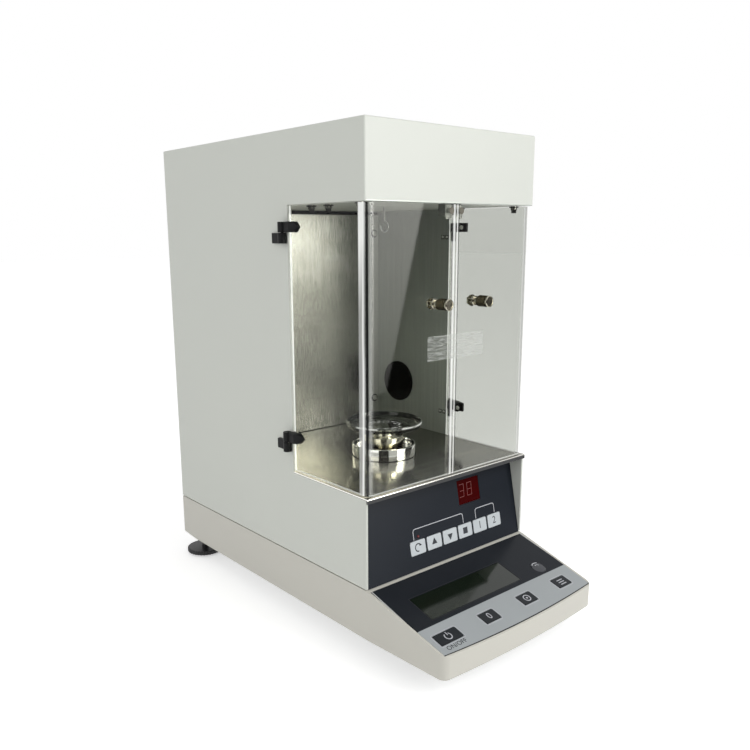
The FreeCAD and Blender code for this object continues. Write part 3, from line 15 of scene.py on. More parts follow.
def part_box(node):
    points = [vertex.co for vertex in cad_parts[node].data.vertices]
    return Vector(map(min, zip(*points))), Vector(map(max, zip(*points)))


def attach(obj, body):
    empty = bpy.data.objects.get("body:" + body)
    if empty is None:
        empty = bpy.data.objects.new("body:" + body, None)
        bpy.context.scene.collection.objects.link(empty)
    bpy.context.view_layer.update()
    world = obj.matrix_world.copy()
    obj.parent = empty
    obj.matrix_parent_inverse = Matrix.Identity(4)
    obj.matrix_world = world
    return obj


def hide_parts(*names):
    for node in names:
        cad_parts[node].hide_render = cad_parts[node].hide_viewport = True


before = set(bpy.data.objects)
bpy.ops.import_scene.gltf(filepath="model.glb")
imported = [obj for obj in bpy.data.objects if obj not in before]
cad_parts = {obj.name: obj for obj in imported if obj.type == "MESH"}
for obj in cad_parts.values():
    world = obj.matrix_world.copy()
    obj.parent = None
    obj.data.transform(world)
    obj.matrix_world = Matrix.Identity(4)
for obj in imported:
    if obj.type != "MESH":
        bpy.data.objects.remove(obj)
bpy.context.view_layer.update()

# %% [markdown]
# Two faces of the instrument carry printing: the keypad panel, which leans back, and the
# console, which slopes forward. Working in each face's own flat millimetres and turning the
# result into place once is far easier than placing every mark in the room. A plane here is a
# matrix: x runs to the right, y runs up the face, z comes out of it.

# %% The two printed planes
MM = 0.001
FRONT_Y = -124.4          # the cabinet's front, in the row's frame
SEAM_Z = 68.5             # where the console meets the keypad panel
PANEL_SETBACK = 0.5
PANEL_TILT = 78.6         # the panel leans back 11.4 degrees
CONSOLE_TILT = 15.6


def turn_by(degrees, axis):
    return Matrix.Rotation(math.radians(degrees), 4, axis)


def placed(x, y, z, turn=Matrix.Identity(4)):
    """A place in the room for something drawn in millimetres and turned about its origin."""
    return Matrix.Translation(Vector((x, y, z)) * MM) @ turn @ Matrix.Scale(MM, 4)


KEYPAD = placed(0, FRONT_Y + PANEL_SETBACK, SEAM_Z, turn_by(PANEL_TILT, "X"))
CONSOLE = placed(0, FRONT_Y, SEAM_Z, turn_by(CONSOLE_TILT, "X"))


def face_lift(node, plane):
    """How far a node's outer face stands out of a plane, in millimetres."""
    back = plane.inverted()
    return max((back @ corner.co).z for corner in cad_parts[node].data.vertices)


PANEL_FACE = face_lift("keypad_overlay", KEYPAD)
CONSOLE_FACE = face_lift("console_overlay", CONSOLE)
print("printed faces stand out", round(PANEL_FACE, 2), "and", round(CONSOLE_FACE, 2), "mm")

# %% [markdown]
# Shader nodes are easier to read as sums than as boxes and noodles. `Signal` holds one node's
# output and turns `+`, `-`, `*` and `/` into Math nodes. `Finish` is a material, or the room's
# surround, while it is being made: its `node` method adds any other node.

# %% Signals and finishes
WHITE = (1, 1, 1, 1)
MIDDLE_GREY = (0.5, 0.5, 0.5, 1)
BLACK = (0, 0, 0, 1)
DRAWN_UP = (1, 1, 0.02)   # a grain's stretch for fine upright streaks


class Signal:
    """One output of a shader node."""

    def __init__(self, finish, socket):
        self.finish = finish
        self.socket = socket

    def math(self, operation, first, second=0.0, clamp=False):
        settings = {"operation": operation, "use_clamp": clamp}
        return self.finish.node("ShaderNodeMath", settings, {0: first, 1: second})

    def __add__(self, other):
        return self.math("ADD", self, other)

    def __sub__(self, other):
        return self.math("SUBTRACT", self, other)

    def __rsub__(self, other):
        return self.math("SUBTRACT", other, self)

    def __mul__(self, other):
        return self.math("MULTIPLY", self, other)

    def __truediv__(self, other):
        return self.math("DIVIDE", self, other)

    def size(self):
        return self.math("ABSOLUTE", self)

    def root(self):
        return self.math("SQRT", self)

    def wave(self):
        return self.math("SINE", self)

    def larger(self, other):
        return self.math("MAXIMUM", self, other)

    def opposite(self):
        return self.math("SUBTRACT", 1.0, self)

    def above(self, level, soft):
        """0 below the level and 1 above it, with a soft step between."""
        return self.math("ADD", (self - level) / soft, 0.5, clamp=True)

    def below(self, level, soft):
        return self.math("ADD", (level - self) / soft, 0.5, clamp=True)

    def ridge(self, middle, reach):
        """1 at the middle, falling evenly to 0 a reach away on either side."""
        return self.math("SUBTRACT", 1.0, (self - middle).size() / reach, clamp=True)


class Finish:
    """A material or a world while it is being made."""

    def __init__(self, name, kind="materials"):
        self.made = getattr(bpy.data, kind).new(name)
        self.made.use_nodes = True
        self.tree = self.made.node_tree
        self.tree.nodes.clear()

    def node(self, kind, settings=None, sockets=None, output=0):
        made = self.tree.nodes.new(kind)
        for word, setting in (settings or {}).items():
            setattr(made, word, setting)
        for key, value in (sockets or {}).items():
            if isinstance(value, Signal):
                self.tree.links.new(value.socket, made.inputs[key])
            else:
                made.inputs[key].default_value = value
        return Signal(self, made.outputs[output]) if made.outputs else None

    def here(self):
        """The point that is being shaded, in the row's frame, in metres."""
        return self.node("ShaderNodeTexCoord", output="Object")

    def facing(self):
        """The face's direction, along the object's own axes."""
        return self.split(self.node("ShaderNodeTexCoord", output="Normal"))

    def outside(self):
        """1 on a face's front and 0 on its back."""
        return self.node("ShaderNodeNewGeometry", output="Backfacing").opposite()

    def glance(self):
        """0 where a face is met straight on, and 1 where it is only grazed."""
        return self.node("ShaderNodeLayerWeight", None, {"Blend": 0.5}, output="Facing")

    def split(self, vector):
        parts = self.node("ShaderNodeSeparateXYZ", None, {0: vector}).socket.node
        return [Signal(self, socket) for socket in parts.outputs]

    def grain(self, scale, detail=2.0, stretch=(1, 1, 1)):
        """A cloudy pattern from 0 to 1; a stretch below 1 draws it out along that axis."""
        spot = self.node("ShaderNodeMapping", None, {"Vector": self.here(), "Scale": stretch})
        return self.node("ShaderNodeTexNoise", None,
                         {"Vector": spot, "Scale": scale, "Detail": detail})

    def blend(self, amount, first, second):
        """One colour where the amount is 0, and the other where it is 1."""
        return self.node("ShaderNodeMix", {"data_type": "RGBA"},
                         {0: amount, 6: first, 7: second}, output=2)

    def mixed(self, amount, first, second):
        """One shader where the amount is 0, and the other where it is 1."""
        return self.node("ShaderNodeMixShader", None, {0: amount, 1: first, 2: second})

    def bump(self, height, distance, strength=1.0):
        return self.node("ShaderNodeBump", None,
                         {"Height": height, "Distance": distance, "Strength": strength})

    def surface(self, base, roughness, **sockets):
        """The usual shader; a socket's word has _ for each space."""
        values = {word.replace("_", " "): value for word, value in sockets.items()}
        values.update({"Base Color": base, "Roughness": roughness})
        return self.node("ShaderNodeBsdfPrincipled", None, values)

    def clear(self, tint=WHITE):
        return self.node("ShaderNodeBsdfTransparent", None, {"Color": tint})

    def glossy_sheet(self, tint, gloss):
        """See-through with a tint, under as much of a mirror as gloss says."""
        return self.mixed(gloss, self.clear(tint), self.surface(WHITE, 0.02, Metallic=1.0))

    def wear(self, shader, output="ShaderNodeOutputMaterial"):
        """Uses the shader as the surface, and gives back what was made."""
        self.node(output, None, {"Surface": shader})
        return self.made


def shade(red, green, blue):
    """A colour written as it is seen on a screen, 0 to 255, for a shader's socket."""
    seen = [level / 255 for level in (red, green, blue)]
    return (*[c / 12.92 if c <= 0.04045 else ((c + 0.055) / 1.055) ** 2.4 for c in seen], 1.0)


print("a mid grey of 128 is", round(shade(128, 128, 128)[0], 3), "to the shader")

# %% [markdown]
# The cabinet has a fine sprayed texture: tiny rounded bumps, and a sheen that breaks up in
# them. Noise drives a Bump node, and a slower noise shifts the colour a little, as a sprayed
# coat does. The moulded base is a warmer, smoother plastic.

# %% Cabinet paint and base plastic
SPRAY_SPECK = 900.0       # how fine the sprayed specks are
SPRAY_DEPTH = 0.00012
SPRAY_BUMP = 0.35
CLOUD = 6.0               # how slow the shift of colour is
LINING_X = 0.106          # the cabinet's inner faces lie nearer the middle than this
LINING_LOW = 0.1525
LINING_HIGH = 0.4045
LINING_BACK = 0.15        # the rear panel is behind this and is painted
LINING_MIDDLE = 0.32      # painted shade: the lining is darker above this level and lighter below
LINING_EDGE = 0.0005      # how soft the lining's ends are
LINING_SIDE_EDGE = 0.0003


def sprayed(name, colour, second_colour, speck=SPRAY_SPECK, depth=SPRAY_DEPTH, roughness=0.45):
    finish = Finish(name)
    specks = finish.grain(speck, 2.0)
    base = finish.blend(finish.grain(CLOUD, 3.0), colour, second_colour)
    matt = specks * 0.12 + (roughness - 0.06)
    normal = finish.bump(specks, depth, SPRAY_BUMP)
    return finish.wear(finish.surface(base, matt, Normal=normal))


def cabinet_skin():
    """Sprayed outside; inside the chamber the same sheet is bare grey steel, partly darkened as
    painted shade and darkest towards the top.
    """
    finish = Finish("case_paint_look")
    x, y, z = finish.split(finish.here())
    inside = (x.size().below(LINING_X, LINING_SIDE_EDGE) * z.above(LINING_LOW, LINING_EDGE)
              * z.below(LINING_HIGH, LINING_EDGE) * y.below(LINING_BACK, LINING_EDGE))
    cloud = finish.grain(CLOUD, 3.0)
    specks = finish.grain(SPRAY_SPECK, 2.0)
    drawn = finish.grain(400.0, 3.0, DRAWN_UP)
    paint = finish.blend(cloud, shade(221, 224, 216), shade(217, 220, 213))
    # painted shade: the lining's grey is darker above LINING_MIDDLE, where the chamber lies in
    # shade
    painted_shade = finish.blend(z.below(LINING_MIDDLE, 0.16), shade(168, 173, 169), shade(226, 232, 226))
    steel = finish.blend(drawn * 0.4 + cloud * 0.2, painted_shade, shade(128, 132, 127))
    base = finish.blend(inside, paint, steel)
    matt = specks * 0.12 + 0.39 - inside * 0.08
    normal = finish.bump(specks, SPRAY_DEPTH, SPRAY_BUMP)
    return finish.wear(finish.surface(base, matt, Metallic=inside * 0.4, Normal=normal,
                                      Specular_IOR_Level=0.2))


CASE_PAINT = cabinet_skin()
INNER_PAINT = sprayed("inner_paint_look", shade(206, 208, 201), shade(200, 202, 196))
BASE_PLASTIC = sprayed("base_plastic_look", shade(212, 210, 200), shade(207, 205, 196),
                       speck=1400.0, depth=0.00006, roughness=0.38)
print("sprayed finishes:", CASE_PAINT.name, INNER_PAINT.name, BASE_PLASTIC.name)

# %% [markdown]
# Brushed sheet has very long, very fine scratches in one direction. A noise squeezed across
# the scratches and drawn out along them gives both the streaks of tone and the bump that
# spreads its reflections. The back wall is brushed up and down, the floor from side to side.

# %% Brushed stainless sheet
SCRATCHES = 5200.0        # how fine the scratches, the bands of tone and the stains are
BANDS = 160.0
STAINS = 14.0
UP_AND_DOWN = (1, 1, 0.012)
SIDE_TO_SIDE = (0.015, 1, 1)
WALL_DARKER_Z = 0.336            # painted shade darkens the wall below this level
FOOT_Z = 0.195            # and less so below this one
DARK_BAND_Z = 0.222           # where a darker band crosses the wall
DARK_BAND_REACH = 0.004
WALL_SHADE_Z = 0.3993     # painted shadow above this, where the wall's top runs up into a dark slot
WALL_FOOT_Z = 0.1549      # and a fine painted shadow line below this, in the gap where its foot stands
FLOOR_DARKER_X = -0.04            # painted shade darkens the floor to the right of this
LIP_Z = 0.1529            # below this level the folded sheet under the floor's lip gets painted shadow


def brushed(name, stretch, light, dark, edges, painted_shade, roughness, scratch):
    """Brushed sheet.

    The edges function gives where a highlight and where a shadow is painted on, and the shadow's
    colour; the painted_shade function gives where shade is painted into the tone.
    """
    finish = Finish(name)
    bright, shadowed, shadow = edges(finish)
    scratches = finish.grain(SCRATCHES, 2.0, stretch)
    bands = finish.grain(BANDS, 3.0, stretch)
    stain = finish.grain(STAINS, 4.0)
    shade_amount = painted_shade(*finish.split(finish.here())) * 0.6
    # painted shade lowers the tone wherever painted_shade says
    tone = finish.blend(bands * 0.4 + stain * 0.4 + scratches * 0.25 - shade_amount, dark, light)
    # painted highlight on the bright edges, painted shadow colour where shadowed
    lit_tone = finish.blend(bright, tone, shade(232, 231, 226))
    base = finish.blend(shadowed, lit_tone, shadow)
    matt = scratches * 0.08 + stain * 0.06 + shadowed * 0.3 + (roughness - 0.07)
    normal = finish.bump(scratches, scratch, 0.5)
    metal = shadowed.opposite()
    return finish.wear(finish.surface(base, matt, Metallic=metal, Normal=normal))


def wall_edges(finish):
    """A painted highlight on the sheet's upper and lower ends, painted shadow where its top runs
    up into the slot, and a fine painted shadow line at its foot.
    """
    bright = finish.facing()[2].size().above(0.7, 0.2)
    z = finish.split(finish.here())[2]
    painted_gap_shadow = z.above(WALL_SHADE_Z, 0.0006).larger(z.below(WALL_FOOT_Z, 0.0005) * 0.9)
    return bright, painted_gap_shadow, shade(16, 15, 14)


def floor_edges(finish):
    """A painted highlight on the top of the lip; under it the folded sheet gets painted shadow.
    """
    beside, ahead = [along.size().above(0.4, 0.3) for along in finish.facing()[:2]]
    lip = ahead.larger(beside)
    under = finish.split(finish.here())[2].below(LIP_Z, 0.0003)
    shadow = finish.blend(beside, shade(20, 22, 26), shade(100, 102, 98))
    return lip * under.opposite(), lip * under, shadow


def wall_painted_shade(x, y, z):
    """Painted shade: darker low down, less so at the foot, with a darker band across the sheet.
    """
    dark_band = z.ridge(DARK_BAND_Z, DARK_BAND_REACH)
    return z.below(WALL_DARKER_Z, 0.12) * 1.28 + dark_band * 0.3 - z.below(FOOT_Z, 0.05) * 0.55


def floor_painted_shade(x, y, z):
    # painted shade: the floor is darker to the right and lighter to the left
    return x.above(FLOOR_DARKER_X, 0.07) * 1.2 - 0.3


WALL_STEEL = brushed("wall_steel_look", UP_AND_DOWN, shade(250, 248, 242),
                     shade(158, 157, 150), wall_edges, wall_painted_shade, 0.27, 0.00004)
FLOOR_STEEL = brushed("floor_steel_look", SIDE_TO_SIDE, shade(248, 242, 224),
                      shade(126, 124, 116), floor_edges, floor_painted_shade, 0.13, 0.000004)
print("brushed finishes:", WALL_STEEL.name, FLOOR_STEEL.name)

# %% [markdown]
# The doors are clear acrylic, 3 mm thick, bent warm round the cabinet's corner. A thin clear
# sheet is best shown as see-through with a reflection that grows towards a grazing look: a
# refracting shader would put the chamber in its own shadow. The cut edges are pale with a painted
# glow, the bend is a little milky with drawn streaks of painted highlight and a painted shadow
# line, and the seam has painted highlight and shadow lines, so all of them get more of the pale
# coat.

# %% Clear acrylic
DOOR_FRONT_Y = -0.1239
DOOR_CORNER_X = 0.1055
BEND = 0.0085
BEND_REACH = 0.0108       # the bend's painted highlight streaks reach this far behind the front
STREAK_Z = 0.345          # and are stronger above this level
REAR_EDGE_Y = -0.0178
REAR_EDGE_X = 0.1038      # the outer half of the rear edge gets the painted glow
SHEET_TINT = (0.852, 0.858, 0.842, 1.0)     # what each face of a sheet lets through
SEAM_LIGHT = ((-0.0025, 0.0022), (0.0015, 0.0013))    # middle and reach of each painted highlight line at the seam
# and of each painted shadow line at the seam
SEAM_DARK = ((0.0032, 0.001), (-0.0052, 0.0009))
# how strongly the acrylic's cut edges and the dish's glints glow, as painted light
PAINTED_GLOW = 0.6


def clear_sheet(name):
    finish = Finish(name)
    x, y, z = finish.split(finish.here())
    directions = finish.facing()
    on_side, on_end, on_edge = [along.size().above(0.7, 0.1) for along in directions]
    outside = finish.outside()
    outer = (x * directions[0]).above(0.0, 0.001) * outside
    rear = on_end * y.above(REAR_EDGE_Y, 0.0004) * x.size().above(REAR_EDGE_X, 0.0002)

    # the bend's painted highlight: drawn streaks that wander with height and a pale band at the
    # front, with a painted shadow line and painted shade where the bend is seen from inside
    beside = x.size().above(DOOR_CORNER_X - BEND, 0.0005)
    round_bend = (y - DOOR_FRONT_Y) / BEND_REACH       # 0 in front, 1 where the streaks end
    streak = finish.grain(260.0, 2.0, DRAWN_UP) * 0.5 + 0.6
    wander = finish.grain(9.0, 1.0, (0.01, 0.01, 1)) * 0.3 - 0.15
    peak = (round_bend + wander).ridge(0.5, 0.2)
    upper = z.above(STREAK_Z, 0.06) * 0.6 + 0.42
    wide = round_bend.above(0.42, 0.1) * round_bend.below(0.96, 0.1) * upper
    glow = wide.math("MULTIPLY", wide.larger(peak), streak, clamp=True)
    pale = round_bend.ridge(0.1, 0.09) * 0.12
    bend = beside * outer * (glow * 0.95).larger(pale)
    seen_through_shade = outside.opposite() * beside * round_bend.ridge(0.5, 0.4) * 0.35
    bend_shadow_line = round_bend.ridge(0.22, 0.1).above(0.4, 0.4) * beside * outer * 0.9

    # painted highlight and painted shadow lines on the front edges at the seam
    face = on_end * y.below(DOOR_FRONT_Y + 0.001, 0.0005)
    seam_light, seam_dark = [x.ridge(*first).larger(x.ridge(*second)) * face
                             for first, second in (SEAM_LIGHT, SEAM_DARK)]
    shadow = bend_shadow_line.larger(seam_dark * 0.75).larger(seen_through_shade)
    in_shadow = shadow.above(0.2, 0.1)

    glance = finish.glance()
    steep = glance * glance * glance * glance * glance
    sheet = finish.glossy_sheet(SHEET_TINT, steep * 0.6 + 0.025 - on_side * 0.019)
    # the pale coat is partly the sheet's haze and partly painted light: it glows on the edges and
    # turns dark where shadow is painted
    haze_and_shade_colour = finish.blend(in_shadow, shade(236, 238, 234), shade(30, 32, 32))
    painted_glow_colour = finish.blend(in_shadow, finish.blend(rear, MIDDLE_GREY, WHITE), BLACK)
    haze_and_painted_light = finish.surface(haze_and_shade_colour, 0.15, Emission_Color=painted_glow_colour, Emission_Strength=PAINTED_GLOW)
    haze_and_light_amount = (on_edge * 0.7).larger(bend).larger(seam_light * 0.8).larger(rear * 0.9)
    return finish.wear(finish.mixed(haze_and_light_amount.larger(shadow), sheet, haze_and_painted_light))


CLEAR_ACRYLIC = clear_sheet("clear_acrylic_look")
print("clear finish:", CLEAR_ACRYLIC.name, "with", len(CLEAR_ACRYLIC.node_tree.nodes), "nodes")

# %% [markdown]
# The keypad panel is a glossy navy film, and the console's film has two colours: a dark upper
# area with a light rim, and a light grey strip that carries the keys. The boundary and the rim
# are printed, so they are masks worked out from the place on the slope; so is the painted shadow
# in the gaps round the film.

# %% Printed films
PRINT_EDGE = 0.0002       # how soft a printed edge is
DARK_AREA_END = 0.0618    # how far down the slope the dark area runs
RIM_START = 0.1032        # how far from the middle the side rims start
TOP_RIM = 0.0018
FILM_END = 0.0936         # how far down the slope the film ends at its sides
FILM_BOW = 0.0043         # and how much further at its middle
FILM_HALF = 0.105
END_GAP = 0.0009          # painted shadow in the gaps round the film
SIDE_GAP = 0.0006
FILM_BUMP = 0.00001


def navy_film():
    finish = Finish("navy_overlay_look")
    cloud = finish.grain(14.0)
    base = finish.blend(cloud, shade(28, 33, 41), shade(32, 37, 45))
    normal = finish.bump(finish.grain(2500.0), FILM_BUMP, 0.3)
    return finish.wear(finish.surface(base, cloud * 0.06 + 0.28, Normal=normal,
                                      Specular_IOR_Level=0.1))


def console_film():
    finish = Finish("console_film_look")
    x, y, z = finish.split(finish.here())
    slope = math.radians(CONSOLE_TILT)
    down = (FRONT_Y * MM - y) * math.cos(slope) + (SEAM_Z * MM - z) * math.sin(slope)
    light = down.above(DARK_AREA_END, PRINT_EDGE)
    rim = x.size().above(RIM_START, PRINT_EDGE).larger(down.below(TOP_RIM, PRINT_EDGE))
    bowed = down + x * x * (FILM_BOW / (FILM_HALF * FILM_HALF))
    # painted shadow: a dark line in the gap at the film's lower end and at its left side
    painted_gap_shadow = bowed.above(FILM_END + FILM_BOW - END_GAP, PRINT_EDGE)
    painted_gap_shadow = painted_gap_shadow.larger(x.below(-FILM_HALF + SIDE_GAP, PRINT_EDGE))
    fine = finish.grain(2200.0)
    dark_print = finish.blend(finish.grain(14.0), shade(36, 39, 44), shade(41, 44, 49))
    light_print = finish.blend(finish.grain(20.0), shade(176, 181, 183), shade(170, 175, 177))
    printed = finish.blend(light, dark_print, light_print)
    rimmed = finish.blend(rim, printed, shade(196, 198, 196))
    base = finish.blend(painted_gap_shadow, rimmed, shade(40, 42, 40))
    matt = fine * 0.08 + light * 0.12 + 0.2
    normal = finish.bump(fine, FILM_BUMP, 0.3)
    return finish.wear(finish.surface(base, matt, Normal=normal, Specular_IOR_Level=0.06))


NAVY_FILM = navy_film()
CONSOLE_FILM = console_film()
print("printed films:", NAVY_FILM.name, CONSOLE_FILM.name)

# %% [markdown]
# Most of the small finishes differ only in colour, gloss and how rough their skin is, so one
# helper makes them: a slow cloud shifts the colour, and a fine grain the gloss and the bump.

# %% Small finishes


def plain(name, colour, roughness, metallic=0.0, vary=0.12, speck=1500.0, depth=0.00002,
          shine=0.5):
    finish = Finish(name)
    cloud = finish.grain(25.0, 3.0)
    fine = finish.grain(speck, 2.0)
    darker = tuple(level * (1 - vary) for level in colour[:3]) + (1.0,)
    base = finish.blend(cloud, colour, darker)
    matt = fine * 0.1 + (roughness - 0.05)
    normal = finish.bump(fine, depth, 0.4)
    return finish.wear(finish.surface(base, matt, Metallic=metallic, Normal=normal,
                                      Specular_IOR_Level=shine))


LIGHT_KEY = plain("light_key_look", shade(203, 210, 214), 0.42)
DARK_KEY = plain("dark_key_look", shade(36, 40, 44), 0.38, shine=0.15)
KEY_SYMBOL_DARK = plain("key_symbol_dark_look", shade(50, 54, 61), 0.5, shine=0.2)
PRINT_LIGHT = plain("print_light_look", shade(196, 198, 204), 0.45)
PRINT_DARK = plain("print_dark_look", shade(34, 36, 40), 0.5, shine=0.2)
BLACK_METAL = plain("black_metal_look", shade(20, 21, 22), 0.42, depth=0.00005, shine=0.15)
BLACK_PLASTIC = plain("black_plastic_look", shade(14, 15, 15), 0.45, shine=0.1)
CATCH_GREY = plain("catch_grey_look", shade(108, 110, 106), 0.4, shine=0.2)
# a black that stands for shade: in the wall's slot, at the cup's foot and in the rear screws'
# recesses
PAINTED_SHADOW_BLACK = plain("painted_shadow_black_look", shade(12, 12, 12), 0.8, shine=0.0)
RUBBER = plain("rubber_look", shade(32, 32, 33), 0.75, depth=0.00008)
FOOT_PLASTIC = plain("foot_plastic_look", shade(36, 36, 38), 0.42)
STRIKE_STEEL = plain("strike_steel_look", shade(205, 206, 202), 0.3, metallic=0.6)
CATCH_DISC = plain("catch_disc_look", shade(88, 85, 76), 0.4, metallic=0.2, shine=0.2)
# pale screw heads: a bright non-metal colour that paints the glint of the steel heads
SCREW_GLINT_WHITE = plain("screw_glint_white_look", shade(226, 227, 222), 0.3, metallic=0.2)
HOOK_STEEL = plain("hook_steel_look", shade(120, 122, 120), 0.3, metallic=0.6)
NUT_STEEL = plain("nut_steel_look", shade(66, 66, 61), 0.3, metallic=0.4, shine=0.2)
SCREW_STEEL = plain("screw_steel_look", shade(206, 204, 198), 0.22, metallic=1.0)
CHROME = plain("chrome_look", shade(240, 239, 236), 0.08, metallic=1.0, vary=0.03)
KNOB_METAL = plain("knob_metal_look", shade(84, 79, 62), 0.26, metallic=1.0)
KNOB_BRIGHT = plain("knob_bright_look", shade(190, 186, 170), 0.14, metallic=1.0)
ALUMINIUM = plain("aluminium_look", shade(190, 191, 193), 0.35, metallic=1.0)
STEEL_PLATE = plain("steel_plate_look", shade(160, 162, 160), 0.4, metallic=0.8)
MOTOR_BLACK = plain("motor_black_look", shade(40, 40, 42), 0.45)
CORE_STEEL = plain("core_steel_look", shade(86, 84, 82), 0.5, metallic=0.5)
CIRCUIT_BOARD = plain("circuit_board_look", shade(38, 92, 62), 0.4)
LCD_GLASS = plain("lcd_glass_look", shade(25, 33, 25), 0.07, vary=0.25, depth=0.0)
RED_WINDOW = plain("red_window_look", shade(68, 2, 3), 0.25, vary=0.2, depth=0.0, shine=0.03)
print("materials:", len(bpy.data.materials))

# %% [markdown]
# The stage's platform is turned from nickelled brass: rings left by the tool, warm in the
# light. Rings are a sine of the distance from the stage's middle, which gives the bump; the
# colour drifts between nickel and the brass that shows through.

# %% Turned metal, glass and lit figures
STAGE_Y = (96.5 + FRONT_Y) * MM
RING_DEPTH = 0.000006
GLASS_TINT = (0.82, 0.83, 0.82, 1)
RIM_REACH = 0.0345        # how far from the middle the dish's thick rim starts
WALL_REACH = 0.0377       # between its inner and its outer face
RIM_Z = 0.1856            # painted shade darkens the rim's inside above this level
DEEP_Z = 0.1858           # and painted shade on its outside is darkest about this one
# where a painted highlight runs round the rim's outside
BEAD_Z = 0.1888
GLINT_REACH = 0.0165


def from_middle(x, y):
    """How far a point is from the stage's upright middle."""
    off_centre = y - STAGE_Y
    return (x * x + off_centre * off_centre).root()


def turned_metal(name, light, dark, pitch=0.00035):
    finish = Finish(name)
    x, y, z = finish.split(finish.here())
    rings = ((from_middle(x, y) + z) * (math.tau / pitch)).wave()
    base = finish.blend(finish.grain(60.0, 2.0, (1, 1, 0.2)), light, dark)
    normal = finish.bump(rings, RING_DEPTH, 0.5)
    return finish.wear(finish.surface(base, rings * 0.02 + 0.05, Metallic=1.0, Normal=normal))


def pressed_glass():
    """Clear in the middle, with painted shade in its thick rim, a painted highlight round the rim
    and a ring of painted glints.
    """
    finish = Finish("dish_glass_look")
    x, y, z = finish.split(finish.here())
    reach = from_middle(x, y)
    outside = finish.outside()
    outer_wall = reach.above(WALL_REACH, 0.0004)
    inner_wall = reach.above(RIM_REACH, 0.0004) * outer_wall.opposite()
    # painted shade: the thick rim's inside and outside are mixed towards black
    deep = outer_wall * z.ridge(DEEP_Z, 0.0022).above(0.3, 0.3)
    dark = (inner_wall * z.above(RIM_Z, 0.0008)).larger(deep) * outside * 0.92
    rim_highlight = z.ridge(BEAD_Z, 0.0012) * finish.grain(45.0, 1.0).above(0.52, 0.05) * outer_wall
    painted_glints = finish.grain(330.0, 1.0).above(0.56, 0.04) * reach.ridge(GLINT_REACH, 0.003)
    glance = finish.glance()
    shiny = finish.glossy_sheet(GLASS_TINT, glance * glance * glance * 0.6 + 0.05)
    glass = finish.mixed(dark, shiny, finish.surface(shade(10, 12, 11), 0.05))
    # painted glints: a glowing white surface on the rim highlight and in a ring on the bottom
    white = finish.surface(WHITE, 0.2, Emission_Color=WHITE, Emission_Strength=PAINTED_GLOW)
    return finish.wear(finish.mixed(painted_glints.larger(rim_highlight * outside * 0.8), glass, white))


def lit(name, colour, strength):
    finish = Finish(name)
    dimmer = tuple(level * 0.8 for level in colour[:3]) + (1.0,)
    glow = finish.blend(finish.grain(300.0), colour, dimmer)
    return finish.wear(finish.surface(colour, 0.4, Emission_Color=glow,
                                      Emission_Strength=strength))


TURNED_BRASS = turned_metal("turned_brass_look", shade(250, 248, 236), shade(226, 220, 198))
DISH_GLASS = pressed_glass()
LEVEL_VIAL = plain("level_vial_look", shade(40, 44, 52), 0.12, depth=0.0)
LIT_FIGURE = lit("lit_figure_look", shade(118, 24, 20), 0.06)
RED_LAMP = plain("red_lamp_look", shade(112, 16, 22), 0.3, shine=0.3)
print("materials with the stage's:", len(bpy.data.materials))

# %% [markdown]
# A solid whose shape is right only needs its finish. Its mesh already has a slot, so the new
# material goes into that slot and nothing else is touched.

# %% Finishes on the ready-made solids
SOLID_FINISHES = {
    "base_shell": BASE_PLASTIC, "base_plate": STEEL_PLATE, "front_feet": RUBBER,
    "housing_cover": CASE_PAINT, "port_plug": BLACK_PLASTIC, "rear_panel": CASE_PAINT,
    "power_inlet": BLACK_PLASTIC, "serial_port": STEEL_PLATE, "chamber_floor": FLOOR_STEEL,
    "chamber_back_wall": WALL_STEEL, "chamber_ceiling": INNER_PAINT,
    "keypad_overlay": NAVY_FILM, "keypad_plate": STEEL_PLATE, "keypad_board": CIRCUIT_BOARD,
    "led_window": RED_WINDOW, "led_display": BLACK_PLASTIC, "console_overlay": CONSOLE_FILM,
    "lcd_window": LCD_GLASS, "lcd_module": BLACK_PLASTIC, "console_board": CIRCUIT_BOARD,
    "spirit_level": LEVEL_VIAL, "hinge_brackets": BLACK_METAL, "catch_magnets": CATCH_GREY,
    "stage_cup": CHROME, "lift_frame": ALUMINIUM, "guide_rods": SCREW_STEEL,
    "lift_motor": MOTOR_BLACK, "weigh_cell": ALUMINIUM, "main_board": CIRCUIT_BOARD,
    "transformer": CORE_STEEL, "case_screws": SCREW_STEEL,
    "left_door_pane": CLEAR_ACRYLIC, "right_door_pane": CLEAR_ACRYLIC,
    "left_door_knob": KNOB_METAL, "right_door_knob": KNOB_METAL,
    "left_door_leaves": BLACK_METAL, "right_door_leaves": BLACK_METAL,
    "left_strike_plate": STRIKE_STEEL, "right_strike_plate": STRIKE_STEEL,
    "stage_carriage": ALUMINIUM, "stage_platform": TURNED_BRASS, "glass_dish": DISH_GLASS,
    "lead_screw": SCREW_STEEL, "weigh_beam": ALUMINIUM, "hanger_hook": HOOK_STEEL,
    "power_rocker": BLACK_PLASTIC, "left_foot_pad": RUBBER, "right_foot_pad": RUBBER,
    "left_foot_wheel": FOOT_PLASTIC, "right_foot_wheel": FOOT_PLASTIC,
}
PANEL_KEYS = ["auto_key", "up_key", "down_key", "stop_key", "set_one_key", "set_two_key"]
CONSOLE_KEYS = ["power_key", "tare_key", "adjust_key", "mode_key"]
SOLID_FINISHES.update({key: LIGHT_KEY for key in PANEL_KEYS})
SOLID_FINISHES.update({key: DARK_KEY for key in CONSOLE_KEYS})

for node, material in SOLID_FINISHES.items():
    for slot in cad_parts[node].material_slots:
        slot.material = material
print("solids with a finish:", len(SOLID_FINISHES), "of", len(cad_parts))

# %% [markdown]
# Every added piece goes through one door: its mesh is placed, its normals are put right, it
# gets its material, and it rides on the body that carries it.

